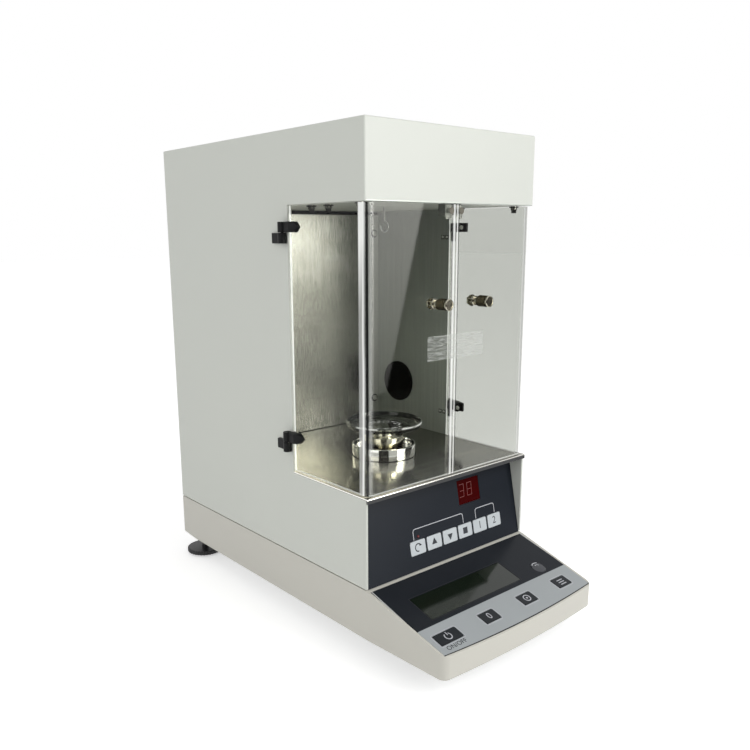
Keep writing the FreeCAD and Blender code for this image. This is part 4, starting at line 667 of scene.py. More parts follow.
# %% Making and placing a piece
ROUND_UNDER = 35          # a round piece's edges that turn by fewer degrees are shaded smooth
SIDES = (("left", -1), ("right", 1))


def in_scene(name, bm, look):
    """Turns a finished bmesh into an object of the scene."""
    mesh = bpy.data.meshes.new(name)
    bm.to_mesh(mesh)
    bm.free()
    mesh.materials.append(look)
    thing = bpy.data.objects.new(name, mesh)
    bpy.context.scene.collection.objects.link(thing)
    return thing


def fit_piece(name, bm, body, material, place=None, round_under=None):
    """Makes a piece that rides on a body, from a bmesh and the place it belongs."""
    if place is not None:
        bmesh.ops.transform(bm, matrix=place, verts=bm.verts)
    bmesh.ops.recalc_face_normals(bm, faces=bm.faces)
    if round_under is not None:
        for face in bm.faces:
            face.smooth = True
        for edge in bm.edges:
            edge.smooth = edge.calc_face_angle(math.pi) < math.radians(round_under)
    piece = in_scene(name, bm, material)
    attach(piece, body)
    print(name, "rides on", body, "with", len(piece.data.polygons), "faces")
    return piece


def spot(plane, x, up, lift, turn=0.0):
    """A place on a plane, turned in it, for something drawn about its own middle."""
    return plane @ Matrix.Translation((x, up, lift)) @ turn_by(turn, "Z")


def facing_front(x, y, z):
    """A place whose x runs to the right, y upwards and z out of the instrument's front."""
    return placed(x, y, z, turn_by(90, "X"))


def moved(bm, x, up, lift=0.0):
    bmesh.ops.translate(bm, verts=bm.verts, vec=(x, up, lift))
    return bm


# %% [markdown]
# A printed line is a ribbon. It starts as a few points joined by edges, which are raised into
# a low fence; the fence's corners are bevelled where the print turns, and solidify gives the
# line its width. The same three operators draw brackets, outlines and figures.

# %% Printed lines
PRINT_HEIGHT = 0.06       # millimetres of ink, enough to be seen from any side


def gather(parts):
    """Joins finished parts into one bmesh."""
    whole = bmesh.new()
    for part in parts:
        step = bpy.data.meshes.new("step")
        part.to_mesh(step)
        part.free()
        whole.from_mesh(step)
        bpy.data.meshes.remove(step)
    return whole


def raised(made):
    """The corners among what an extrude or a spin has made."""
    return [part for part in made if isinstance(part, bmesh.types.BMVert)]


def ribbon(points, width, corner=0.0, closed=False, height=PRINT_HEIGHT):
    bm = bmesh.new()
    posts = [bm.verts.new((x, y, 0)) for x, y in points]
    ends = posts[1:] + posts[:1] if closed else posts[1:]
    rails = [bm.edges.new(pair) for pair in zip(posts, ends)]
    top = bmesh.ops.extrude_edge_only(bm, edges=rails)["geom"]
    bmesh.ops.translate(bm, vec=(0, 0, height), verts=raised(top))
    if corner:
        turns = [edge for edge in bm.edges if len(edge.link_faces) == 2]
        bmesh.ops.bevel(bm, geom=turns, offset=corner, affect="EDGES", segments=5,
                        profile=0.5, material=-1)
    bmesh.ops.solidify(bm, geom=bm.faces[:], thickness=width)
    return bm


BRACKET_LINE = 0.75
KEY_FIRST = -39.6
KEY_PITCH = 21.8
KEY_UP = 21.6

brackets = gather([
    ribbon([(-43.8, 29.2), (-43.8, 39.5), (25.2, 39.5), (25.2, 29.2)], BRACKET_LINE, 3.0),
    ribbon([(43.0, 29.2), (43.0, 39.5), (72.0, 39.5), (72.0, 29.2)], BRACKET_LINE, 3.0)])
fit_piece("panel_brackets", brackets, "case", PRINT_LIGHT,
          spot(KEYPAD, 0, 0, PANEL_FACE))

# %% [markdown]
# The keys carry signs that anyone can read: a turning arrow for automatic running, triangles
# for up and down, a square for stop, and the figures 1 and 2 for the two stored settings.

# %% Signs on the panel keys
SIGN_SIZE = 10.5
SIGN_LINE = 1.1


def sheet_of(corners):
    """A single face between some corners."""
    bm = bmesh.new()
    bm.faces.new([bm.verts.new(corner) for corner in corners])
    return bm


def thicken(bm, height):
    """Raises a flat figure into a plate, and gives back what the extrude has made."""
    top = bmesh.ops.extrude_face_region(bm, geom=bm.faces[:])["geom"]
    bmesh.ops.translate(bm, vec=(0, 0, height), verts=raised(top))
    return top


def flat_figure(sides, radius, turn=0.0, height=PRINT_HEIGHT):
    """A filled figure with straight sides, lying flat."""
    bm = bmesh.new()
    bmesh.ops.create_circle(bm, cap_ends=True, segments=sides, radius=radius,
                            matrix=turn_by(turn, "Z"))
    thicken(bm, height)
    return bm


def plate(outline, thickness, corner=0.0):
    """A flat plate with a given outline and rounded corners."""
    bm = sheet_of([(x, y, 0) for x, y in outline])
    if corner:
        bmesh.ops.bevel(bm, geom=bm.verts[:], offset=corner, affect="VERTICES", segments=4,
                        profile=0.5, material=-1)
    thicken(bm, thickness)
    return bm


def arc(radius, start, sweep, width, steps=14, middle=(0, 0)):
    """Part of a printed ring: an upright section of the line, spun about its middle."""
    near, far = radius - width / 2, radius + width / 2
    bm = sheet_of([(near, 0, 0), (far, 0, 0), (far, 0, PRINT_HEIGHT), (near, 0, PRINT_HEIGHT)])
    bmesh.ops.transform(bm, matrix=turn_by(start, "Z"), verts=bm.verts)
    bmesh.ops.spin(bm, geom=bm.faces[:], cent=(0, 0, 0), axis=(0, 0, 1),
                   angle=math.radians(sweep), steps=steps)
    bmesh.ops.translate(bm, verts=bm.verts, vec=(*middle, 0))
    return bm


def written(words, size, height=PRINT_HEIGHT):
    """Plain figures or words as a flat mesh, centred on their own middle."""
    curve = bpy.data.curves.new(words, "FONT")
    curve.body = words
    curve.size = size
    curve.align_x = "CENTER"
    curve.align_y = "CENTER"
    curve.extrude = height / 2
    curve.resolution_u = 3
    holder = bpy.data.objects.new(words, curve)
    bpy.context.scene.collection.objects.link(holder)
    mesh = bpy.data.meshes.new_from_object(
        holder.evaluated_get(bpy.context.evaluated_depsgraph_get()))
    bm = bmesh.new()
    bm.from_mesh(mesh)
    bmesh.ops.translate(bm, verts=bm.verts, vec=(0, 0, height / 2))
    bmesh.ops.remove_doubles(bm, verts=bm.verts, dist=0.0001)
    bpy.data.objects.remove(holder)
    bpy.data.meshes.remove(mesh)
    return bm


KEY_FACE = face_lift("up_key", KEYPAD)


def key_sign(name, bm, number):
    fit_piece(name, bm, PANEL_KEYS[number], KEY_SYMBOL_DARK,
              spot(KEYPAD, KEY_FIRST + number * KEY_PITCH, KEY_UP, KEY_FACE))


arrow_head = [(2.4, 3.8), (5.0, 1.3), (1.8, 1.1)]
turning_arrow = gather([arc(3.6, 30, 250, SIGN_LINE), ribbon(arrow_head, SIGN_LINE)])
key_sign("auto_sign", turning_arrow, 0)
key_sign("up_sign", flat_figure(3, 4.1), 1)
key_sign("down_sign", flat_figure(3, 4.1, 180), 2)
key_sign("stop_sign", flat_figure(4, 4.4, 45), 3)
key_sign("set_one_sign", written("1", SIGN_SIZE), 4)
key_sign("set_two_sign", written("2", SIGN_SIZE), 5)

# %% [markdown]
# Behind the red window stand two lit figures made of thin strokes. Each is a few straight
# strokes on a leaning grid, so one table of strokes per figure is enough.

# %% Lit figures and the small red lamp
FIGURE_WIDTH = 6.6
FIGURE_HEIGHT = 13.0
FIGURE_LEAN = 0.9
FIGURE_LEFTS = (24.4, 35.6)
FIGURE_UP = 54.5
FIGURE_LINE = 0.45
LAMP_PLACE = (-37.4, 31.6)
LAMP_RADIUS = 1.3
WINDOW_FACE = face_lift("led_window", KEYPAD)
THREE = [[(0, 1), (1, 1), (1, 0), (0, 0)], [(0.15, 0.5), (1, 0.5)]]
EIGHT = [[(0, 0), (0, 1), (1, 1), (1, 0), (0, 0)], [(0.1, 0.5), (0.95, 0.5)]]


def lit_figure(left, strokes):
    return gather([ribbon([(left + across * FIGURE_WIDTH + level * FIGURE_LEAN,
                            FIGURE_UP + level * FIGURE_HEIGHT) for across, level in stroke],
                          FIGURE_LINE) for stroke in strokes])


figures = gather([lit_figure(*figure) for figure in zip(FIGURE_LEFTS, (THREE, EIGHT))])
fit_piece("lit_figures", figures, "case", LIT_FIGURE,
          spot(KEYPAD, 0, 0, WINDOW_FACE))


def cut_off(bm, point, direction):
    """Takes away what lies beyond a plane, and closes the cut."""
    bmesh.ops.bisect_plane(bm, geom=bm.verts[:] + bm.edges[:] + bm.faces[:], plane_co=point,
                           plane_no=direction, clear_outer=True)
    bmesh.ops.holes_fill(bm, edges=[edge for edge in bm.edges if edge.is_boundary])


lamp = bmesh.new()
bmesh.ops.create_uvsphere(lamp, u_segments=20, v_segments=12, radius=LAMP_RADIUS)
cut_off(lamp, (0, 0, 0), (0, 0, -1))
bmesh.ops.scale(lamp, verts=lamp.verts, vec=(1, 1, 0.6))
fit_piece("panel_lamp", lamp, "case", RED_LAMP,
          spot(KEYPAD, *LAMP_PLACE, PANEL_FACE))

# %% [markdown]
# The console's dark keys have a fine light outline, and light signs of the same plain kind.
# The switch key's words under it are the usual ON/OFF.

# %% Console printing
CONSOLE_KEY_DOWN = 78.2
CONSOLE_KEY_HEIGHT = 12.3
CONSOLE_KEY_PLACES = {"power_key": (-82.2, 26.6), "tare_key": (-29.5, 19.0),
                      "adjust_key": (23.25, 19.0), "mode_key": (76.0, 19.0)}
OUTLINE_SPARE = 2.2       # how much larger a key's outline is than the key
LCD_MIDDLE = (-19.5, -41.5)
LCD_SIZE = (121.5, 30.5)
WORDS_DOWN = 10.6         # from the switch key's middle
LEVEL_MIDDLE = (73.5, -52)
CONSOLE_LINE = 1.0
CONSOLE_FILM_PLACE = spot(CONSOLE, 0, 0, CONSOLE_FACE)
CONSOLE_KEY_FACE = face_lift("tare_key", CONSOLE)


def frame_line(x, up, width, height, line, corner):
    """A closed printed outline about its middle."""
    corners = [(x + across * width / 2, up + along * height / 2)
               for across, along in ((-1, -1), (1, -1), (1, 1), (-1, 1))]
    return ribbon(corners, line, corner, closed=True)


def console_sign(name, bm, key):
    fit_piece(name, bm, key, PRINT_LIGHT,
              spot(CONSOLE, CONSOLE_KEY_PLACES[key][0], -CONSOLE_KEY_DOWN, CONSOLE_KEY_FACE))


outlines = gather([
    frame_line(x, -CONSOLE_KEY_DOWN, width + OUTLINE_SPARE, CONSOLE_KEY_HEIGHT + OUTLINE_SPARE,
               0.7, OUTLINE_SPARE)
    for x, width in CONSOLE_KEY_PLACES.values()])
fit_piece("console_key_outlines", outlines, "case", PRINT_LIGHT,
          CONSOLE_FILM_PLACE)
lcd_line = frame_line(*LCD_MIDDLE, *LCD_SIZE, 0.5, 0.8)
fit_piece("lcd_outline", lcd_line, "case", PRINT_DARK, CONSOLE_FILM_PLACE)
fit_piece("switch_words", written("ON/OFF", 6.4), "case", PRINT_DARK,
          spot(CONSOLE, CONSOLE_KEY_PLACES["power_key"][0], -CONSOLE_KEY_DOWN - WORDS_DOWN,
               CONSOLE_FACE))

power = gather([arc(3.5, 125, 290, CONSOLE_LINE), ribbon([(0, 1.0), (0, 4.9)], CONSOLE_LINE)])
console_sign("power_sign", power, "power_key")
console_sign("tare_sign", written("0", 10.0), "tare_key")
target = gather([arc(3.6, 0, 359.9, CONSOLE_LINE, steps=24), flat_figure(16, 1.1)])
console_sign("adjust_sign", target, "adjust_key")
bars = gather([ribbon([(-4.0, level), (4.0, level)], CONSOLE_LINE) for level in (-2.8, 0, 2.8)])
console_sign("mode_sign", bars, "mode_key")

level_arcs = gather([arc(6.4, 55, 80, 0.9, middle=LEVEL_MIDDLE),
                     arc(3.4, 30, 90, 0.7, middle=LEVEL_MIDDLE)])
fit_piece("level_arcs", level_arcs, "case", PRINT_LIGHT,
          spot(CONSOLE, 0, 0, face_lift("spirit_level", CONSOLE)))

# %% [markdown]
# The door knobs are turned from bar: a bright collar against the acrylic, a narrow neck, a
# knurled grip and a bright end cap, with a nut behind the sheet. A profile spun round the
# knob's axis gives the turned parts. The knurl is a fine ring of faces whose corners move out
# and in like a chessboard, which is what crossed rolling leaves.

# %% Door knobs
KNOB_X = 26.5
KNOB_Z = 317.0
DOOR_FACE = DOOR_FRONT_Y / MM
SHEET = 3.0
GRIP_LOW = 6.1            # how far out of the door's face the knurled grip starts and ends
GRIP_HIGH = 16.0
GRIP_RADIUS = 5.15
WASHER = 0.4


def spun(bm, profile, segments=48):
    """Spins a profile of (radius, height) pairs, from the axis and back to it, round z."""
    posts = [bm.verts.new((radius, 0, height)) for radius, height in profile]
    edges = [bm.edges.new(pair) for pair in zip(posts, posts[1:])]
    bmesh.ops.spin(bm, geom=posts + edges, cent=(0, 0, 0), axis=(0, 0, 1),
                   angle=math.tau, steps=segments, use_merge=True)


def prism(bm, sides, low_radius, high_radius, low, high, middle=(0, 0), capped=True):
    """Adds a many-sided block between two heights, and gives back its corners."""
    made = bmesh.ops.create_cone(bm, segments=sides, radius1=low_radius, radius2=high_radius,
                                 depth=high - low, cap_ends=capped,
                                 matrix=Matrix.Translation((*middle, (low + high) / 2)))
    return made["verts"]


def break_edges(bm, offset):
    """Bevels every edge a little, so that it catches the light."""
    bmesh.ops.bevel(bm, geom=bm.edges[:], offset=offset, affect="EDGES", segments=2,
                    profile=0.5, material=-1)


def knurled(bm, radius, low, high, columns=44, rows=12, depth=0.22):
    """A rolled grip: a ring of faces whose corners stand out and in by turns."""
    ring = prism(bm, columns, radius, radius, low, high, capped=False)
    uprights = {edge for corner in ring for edge in corner.link_edges
                if abs(edge.verts[0].co.z - edge.verts[1].co.z) > 0.1}
    cut = bmesh.ops.subdivide_edges(bm, edges=list(uprights), cuts=rows - 1, use_grid_fill=True)
    row_height = (high - low) / rows
    for corner in set(raised(cut["geom"])):
        column = round(math.atan2(corner.co.y, corner.co.x) / math.tau * columns)
        row = round((corner.co.z - low) / row_height)
        if 0 < row < rows:
            push = 1 + (depth if (column + row) % 2 else -depth) / 2 / radius
            corner.co.x *= push
            corner.co.y *= push


def door_knob(side, sign):
    """A knob and its nut; heights are measured out of the door's face."""
    place = facing_front(sign * KNOB_X, DOOR_FACE, KNOB_Z)
    body = side + "_door"
    bright = bmesh.new()
    spun(bright, [(0, 0), (4.6, 0), (4.6, 1.1), (4.2, 1.5), (3.2, 1.5), (3.2, 5.0), (4.6, 5.0),
                  (4.9, 5.3), (4.9, GRIP_LOW), (0, GRIP_LOW)])
    spun(bright, [(0, 16.6), (4.75, 16.6), (5.25, 16.9), (5.25, 18.2), (4.7, 18.8),
                  (4.2, 18.8), (4.0, 18.4), (0, 18.4)])
    fit_piece(side + "_knob_bright", bright, body, KNOB_BRIGHT, place, ROUND_UNDER)
    grip = bmesh.new()
    knurled(grip, GRIP_RADIUS, GRIP_LOW, GRIP_HIGH)
    spun(grip, [(0, 5.9), (4.95, 5.9), (5.1, GRIP_LOW), (4.6, 6.3), (4.6, GRIP_HIGH),
                (4.4, 16.2), (4.4, 16.8), (0, 16.8)])
    piece = fit_piece(side + "_knob_grip", grip, body, KNOB_METAL, place)
    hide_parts(side + "_door_knob")
    nut = bmesh.new()
    prism(nut, 6, 5.0, 5.0, -SHEET - 3.0, -SHEET - WASHER)
    break_edges(nut, 0.3)
    spun(nut, [(0, -SHEET), (5.4, -SHEET), (5.4, -SHEET - WASHER), (0, -SHEET - WASHER)])
    spun(nut, [(0, -SHEET - 2.5), (2.0, -SHEET - 2.5), (2.0, -SHEET - 3.8),
               (1.6, -SHEET - 4.1), (0, -SHEET - 4.1)])
    fit_piece(side + "_knob_nut", nut, body, KNOB_BRIGHT, place, ROUND_UNDER)


for side, sign in SIDES:
    door_knob(side, sign)

# %% [markdown]
# The stage is where the sample stands: a polished steel cup on the chamber's floor, a stepped
# platform turned from brass in it and a pressed glass dish on top. They carry the brightest
# reflections of the whole instrument, and a reflection shows every facet, so each is spun
# again from its profile in fine steps and shaded round.

# %% Cup, platform and dish
FLOOR_TOP = 154.1
SPIN_STEPS = 128
STAGE_PLACE = Matrix.Translation((0, STAGE_Y, 0)) @ Matrix.Scale(MM, 4)


def stage_piece(name, node, body, material, profile):
    """Spins a piece of the stage; where it is a node's new shape, it takes its place."""
    bm = bmesh.new()
    spun(bm, profile, SPIN_STEPS)
    piece = fit_piece(name, bm, body, material, STAGE_PLACE, ROUND_UNDER)
    if node:
        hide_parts(node)


def round_size(low, high):
    """The low and high level of a round solid's box and its radius, in millimetres."""
    return low.z / MM, high.z / MM, (high.x - low.x) / MM / 2


CUP_TOP, CUP_RADIUS = round_size(*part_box("stage_cup"))[1:]
CUP_INSIDE = CUP_RADIUS - 2.8
CUP_BOTTOM = FLOOR_TOP + 1.0
CUP_BORE = 8.2
stage_piece("turned_cup", "stage_cup", "case", CHROME, [
    (CUP_BORE, FLOOR_TOP), (CUP_RADIUS - 0.5, FLOOR_TOP), (CUP_RADIUS, FLOOR_TOP + 0.4),
    (CUP_RADIUS, CUP_TOP - 0.5), (CUP_RADIUS - 0.2, CUP_TOP - 0.12), (CUP_RADIUS - 0.6, CUP_TOP),
    (CUP_INSIDE + 0.5, CUP_TOP), (CUP_INSIDE + 0.1, CUP_TOP - 0.15),
    (CUP_INSIDE, CUP_TOP - 0.5), (CUP_INSIDE, CUP_BOTTOM + 0.6), (CUP_INSIDE - 0.6, CUP_BOTTOM),
    (CUP_BORE, CUP_BOTTOM), (CUP_BORE, FLOOR_TOP)])

# painted shadow: a thin black ring where the cup stands on the floor
RING_INSIDE = CUP_RADIUS - 1.0
RING_OUTSIDE = CUP_RADIUS + 0.25
RING_TOP = FLOOR_TOP + 0.45
stage_piece("cup_foot_shadow_ring", None, "case", PAINTED_SHADOW_BLACK, [
    (RING_INSIDE, FLOOR_TOP), (RING_OUTSIDE, FLOOR_TOP), (RING_OUTSIDE, RING_TOP),
    (RING_INSIDE, RING_TOP), (RING_INSIDE, FLOOR_TOP)])

STEP_LOW, POST_TOP, STEP_RADIUS = round_size(*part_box("stage_platform"))
STEP_TOP = POST_TOP - 7.6
POST_RADIUS = 12.0
stage_piece("turned_platform", "stage_platform", "stage", TURNED_BRASS, [
    (0, STEP_LOW), (STEP_RADIUS, STEP_LOW), (STEP_RADIUS, STEP_TOP - 5.2),
    (STEP_RADIUS - 0.5, STEP_TOP - 5.0), (STEP_RADIUS - 0.5, STEP_TOP - 4.4),
    (STEP_RADIUS, STEP_TOP - 4.2), (STEP_RADIUS, STEP_TOP - 0.5), (STEP_RADIUS - 0.5, STEP_TOP),
    (POST_RADIUS + 0.4, STEP_TOP), (POST_RADIUS - 0.2, STEP_TOP + 0.4),
    (POST_RADIUS - 0.2, POST_TOP - 1.6), (POST_RADIUS, POST_TOP - 1.4),
    (POST_RADIUS, POST_TOP - 0.4), (POST_RADIUS - 0.4, POST_TOP), (0, POST_TOP)])

DISH_LOW, DISH_TOP, DISH_RADIUS = round_size(*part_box("glass_dish"))
DISH_INSIDE = DISH_RADIUS - 2.0
DISH_FLOOR = DISH_LOW + 2.1
BEAD_TOP = DISH_LOW + 3.0
stage_piece("pressed_dish", "glass_dish", "dish", DISH_GLASS, [
    (0, DISH_LOW + 0.5), (30.0, DISH_LOW + 0.5), (30.8, DISH_LOW), (34.0, DISH_LOW),
    (35.5, DISH_LOW + 0.4), (37.4, DISH_LOW + 1.6), (38.6, DISH_LOW + 3.2),
    (DISH_RADIUS, DISH_LOW + 5.0), (DISH_RADIUS, DISH_TOP - 0.8),
    (DISH_RADIUS - 0.4, DISH_TOP - 0.2), (DISH_RADIUS - 1.0, DISH_TOP),
    (DISH_RADIUS - 1.6, DISH_TOP - 0.2), (DISH_INSIDE, DISH_TOP - 0.8),
    (DISH_INSIDE, DISH_LOW + 5.0), (36.2, DISH_LOW + 3.4), (34.6, DISH_LOW + 2.4),
    (32.0, DISH_FLOOR), (27.0, DISH_FLOOR), (26.4, BEAD_TOP), (25.0, BEAD_TOP),
    (24.4, DISH_FLOOR), (0, DISH_FLOOR)])

# %% [markdown]
# Where sheets meet inside the chamber there is more to see than the sheets: the side walls
# are folded over the back wall as flat strips, the back wall's top runs up into a dark slot,
# and hexagon nuts hold the ceiling. The strips are thin slabs on the wall, the slot's shadow is
# painted as a thin black slab, and the nuts are six-sided cones over the ready-made bolts, under
# black washers that also stand in for the shade round them.

# %% Strips, slot and nuts in the chamber
WALL_FRONT = 100.2
CEILING_Z = 403.2
SLAB_BREAK = 0.12
STRIP_INSIDE = 89.4
STRIP_OUTSIDE = 105.3
STRIP_LOW = 154.3
STRIP_HIGH = 399.4
STRIP_SHEET = 0.7
SLOT_LOW = 399.5
SLOT_HIGH = 403.0
SLOT_SHEET = 0.9
NUT_PLACES = [(sign * x, y) for sign in (-1, 1) for x, y in (
    (98.5, -108.4), (85.5, -49.4), (85.5, -24.4))]
IN_MILLIMETRES = placed(0, 0, 0)


def slab(corner, opposite):
    """A thin block between two corners, with its edges broken."""
    bm = bmesh.new()
    corner, opposite = Vector(corner), Vector(opposite)
    bmesh.ops.create_cube(bm, size=1.0)
    bmesh.ops.scale(bm, verts=bm.verts, vec=[abs(length) for length in opposite - corner])
    bmesh.ops.translate(bm, verts=bm.verts, vec=(corner + opposite) / 2)
    break_edges(bm, SLAB_BREAK)
    return bm


def hexagon_nut(place):
    """A nut under the ceiling, with the chamfer that it ends in."""
    bm = bmesh.new()
    prism(bm, 6, 3.3, 3.5, CEILING_Z - 3.1, CEILING_Z - 0.7, place)
    break_edges(bm, 0.2)
    prism(bm, 6, 2.7, 3.3, CEILING_Z - 3.55, CEILING_Z - 3.05, place)
    return bm


def nut_shadow(place):
    """A black washer over the nut, large enough to stand in for the shade round it, and the
    bolt's thread under it.
    """
    bm = bmesh.new()
    prism(bm, 24, 4.6, 4.6, CEILING_Z - 1.0, CEILING_Z, place)
    prism(bm, 16, 2.4, 2.6, CEILING_Z - 6.1, CEILING_Z - 3.5, place)
    return bm


strips = gather([slab((sign * STRIP_INSIDE, WALL_FRONT - STRIP_SHEET, STRIP_LOW),
                      (sign * STRIP_OUTSIDE, WALL_FRONT, STRIP_HIGH)) for sign in (-1, 1)])
fit_piece("wall_strips", strips, "case", INNER_PAINT, IN_MILLIMETRES)
# painted shadow: a black slab for the shade in the slot over the wall
slot_shadow = slab((-STRIP_OUTSIDE, WALL_FRONT - SLOT_SHEET, SLOT_LOW),
                   (STRIP_OUTSIDE, WALL_FRONT, SLOT_HIGH))
fit_piece("wall_slot_shadow", slot_shadow, "case", PAINTED_SHADOW_BLACK, IN_MILLIMETRES)
fit_piece("ceiling_nuts", gather([hexagon_nut(place) for place in NUT_PLACES]), "case",
          NUT_STEEL, IN_MILLIMETRES)
fit_piece("nut_shadow_washers", gather([nut_shadow(place) for place in NUT_PLACES]), "case",
          BLACK_METAL, IN_MILLIMETRES)

# %% [markdown]
# Each door shuts on a magnet that holds its strike plate, and a small stepped disc in the
# plate meets the magnet. It is turned, so it is a profile spun round its own middle.

# %% Discs of the strike plates
DISC_DROP = 5.0           # from the plate's top to the disc's middle
DISC_LIFT = 0.1


def strike_disc(side):
    low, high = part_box(side + "_strike_plate")
    bm = bmesh.new()
    spun(bm, [(0, -0.1), (3.1, -0.1), (3.1, 0.04), (3.04, 0.1), (2.3, 0.1), (2.2, 0.2),
              (0, 0.2)], 28)
    place = facing_front((low.x + high.x) / 2 / MM, DOOR_FACE - DISC_LIFT,
                         high.z / MM - DISC_DROP)
    fit_piece(side + "_strike_disc", bm, side + "_door", CATCH_DISC, place)


for side in ("left", "right"):
    strike_disc(side)

# %% [markdown]
# The levelling feet are turned by hand, so their wheels are ribbed. A rib is two neighbouring
# corners of a many-sided ring at full radius and two at the root, carried up the wheel's edge.
# The stud above is a screw: a spun profile with a ridge for each turn of thread looks right at
# this size.

# %% Ribbed levelling feet
WHEEL_RADIUS = 21.0
WHEEL_BODY = 4.0          # the ribbed height, between two low crowns
CROWN = 0.5
CROWN_INSET = 0.9
RIB_DEPTH = 1.0
RIBS = 36
STUD_RADIUS = 4.0
THREAD = 1.25
THREAD_DEPTH = 0.5
THREAD_START = 7.0        # above the wheel's underside
STUD_TIP = 1.5            # the plain end of the stud


def foot_wheel(side):
    low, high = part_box(side + "_foot_wheel")
    middle = (low + high) / 2 / MM
    wheel_low = low.z / MM
    stud_top = high.z / MM
    bm = bmesh.new()
    ring = bmesh.ops.create_circle(bm, cap_ends=True, segments=RIBS * 4, radius=WHEEL_RADIUS)
    for number, corner in enumerate(ring["verts"]):
        if number % 4 in (0, 1):
            corner.co *= 1 - RIB_DEPTH / WHEEL_RADIUS
    bmesh.ops.translate(bm, verts=ring["verts"], vec=(0, 0, wheel_low + CROWN))
    thicken(bm, WHEEL_BODY)
    flat = [face for face in bm.faces if abs(face.normal.z) > 0.9]
    bmesh.ops.inset_region(bm, faces=flat, thickness=CROWN_INSET, depth=CROWN)
    stud = [(0, wheel_low + WHEEL_BODY), (STUD_RADIUS, wheel_low + WHEEL_BODY)]
    height = wheel_low + THREAD_START
    while height < stud_top - STUD_TIP:
        stud += [(STUD_RADIUS, height), (STUD_RADIUS - THREAD_DEPTH, height + THREAD / 2)]
        height += THREAD
    stud += [(STUD_RADIUS - 0.8, stud_top), (0, stud_top)]
    spun(bm, stud, 32)
    piece = fit_piece(side + "_ribbed_wheel", bm, side + "_wheel",
                      FOOT_PLASTIC, placed(middle.x, middle.y, 0))
    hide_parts(side + "_foot_wheel")


for side in ("left", "right"):
    foot_wheel(side)

# %% [markdown]
# A door's half of a hinge is a black plate on the pane's outside with a knuckle at its rear
# end, and a thin clamp plate on the inside. The plate narrows to a nose. Its outline is
# drawn from above and raised to the hinge's height, two cuts make the nose, a small bevel
# breaks the edges, and the knuckle is a spun ring, so that the pin still goes through it.

# %% Hinge leaves of the doors
HINGE_X = 111.8
HINGE_Y = -14.4
PIN_BORE = 1.55
KNUCKLE_RADIUS = 4.0
KNUCKLE_BREAK = 0.3
LEAF_HEIGHT = 9.4
LEAF_LOWS = (184.5, 379.5)
PANE_OUTSIDE = 105.5
PLATE_OUTSIDE = 108.5
ARM_INSIDE = 107.6
ARM_OUTSIDE = 113.4
ARM_END = -16.2
ARM_START = -26.6         # the plate has grown as thick as the arm here
SHOULDER = -17.6
NOSE = {"left": 4.3, "right": 0.7}      # the left plates are pointed, the right ones blunt
CLAMP_NOSE = 2.6
CLAMP_FACE = 101.3
CLAMP_OUTSIDE = 102.45
LEAF_FRONT = {"left": -34.4, "right": -40.4}
CLAMP_ENDS = {"left": (-23.5, -17.8), "right": (-40.0, -28.6)}


def nosed(bm, x, y, nose, back):
    """Cuts the two corners of an end, from a nose's height above and below to its middle."""
    cut_off(bm, (x, y, LEAF_HEIGHT - nose), (0, back, 1))
    cut_off(bm, (x, y, nose), (0, back, -1))


def leaf_plate(front, nose):
    bm = plate([(PANE_OUTSIDE, front), (PLATE_OUTSIDE, front + 0.4), (ARM_OUTSIDE, ARM_START),
                (ARM_OUTSIDE, ARM_END), (ARM_INSIDE, ARM_END), (ARM_INSIDE, SHOULDER),
                (PANE_OUTSIDE, SHOULDER)], LEAF_HEIGHT)
    nosed(bm, PANE_OUTSIDE, front, nose, -1)
    break_edges(bm, 0.25)
    return bm


def clamp_plate(front, rear):
    bm = plate([(CLAMP_FACE, front), (CLAMP_OUTSIDE, front), (CLAMP_OUTSIDE, rear),
                (CLAMP_FACE, rear)], LEAF_HEIGHT)
    nosed(bm, CLAMP_FACE, front, CLAMP_NOSE, -1)
    nosed(bm, CLAMP_FACE, rear, CLAMP_NOSE, 1)
    break_edges(bm, 0.2)
    return bm


def knuckle():
    bm = bmesh.new()
    shoulder = KNUCKLE_RADIUS - KNUCKLE_BREAK
    spun(bm, [(PIN_BORE, 0), (shoulder, 0), (KNUCKLE_RADIUS, KNUCKLE_BREAK),
              (KNUCKLE_RADIUS, LEAF_HEIGHT - KNUCKLE_BREAK), (shoulder, LEAF_HEIGHT),
              (PIN_BORE, LEAF_HEIGHT), (PIN_BORE, 0)], 40)
    return moved(bm, HINGE_X, HINGE_Y)


def hinge_leaves(side, sign):
    parts = [moved(part, 0, 0, low) for low in LEAF_LOWS for part in (
        leaf_plate(LEAF_FRONT[side], NOSE[side]), clamp_plate(*CLAMP_ENDS[side]), knuckle())]
    mirrored = IN_MILLIMETRES @ Matrix.Diagonal((sign, 1, 1, 1))
    piece = fit_piece(side + "_hinge_leaves", gather(parts), side + "_door",
                      BLACK_METAL, mirrored, ROUND_UNDER)
    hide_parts(side + "_door_leaves")


for side, sign in SIDES:
    hinge_leaves(side, sign)

# %% [markdown]
# Small screws hold the hinge leaves to the doors, and pairs of them come through the cabinet's
# sides from the fixed leaves. Each is a low dome with a recess: a disc that is raised, drawn in
# twice to round it and once more to sink its middle. One function builds it at each place.

# %% Screws of the hinges
HEAD_STEPS = ((0.3, 0.4), (0.25, 0.15), (0.1, -0.5))     # how far in and out each step goes
HEAD_SIDE = 0.45          # the share of a head's height that its straight side takes
STRIP_SCREW_X = 98.5
STRIP_SCREW_LEVELS = (180.0, 378.5)
LEAF_LEVELS = (189.2, 384.2)
LEAF_SCREW_BACK = 2.7     # how far behind the clamp's front end its screw is
WALL_SCREW_LEVELS = (180.2, 374.3)
WALL_SCREW_PLACES = (-6.7, -12.7)
CABINET_INSIDE = 105.5
WASHER_SHEET = 0.3


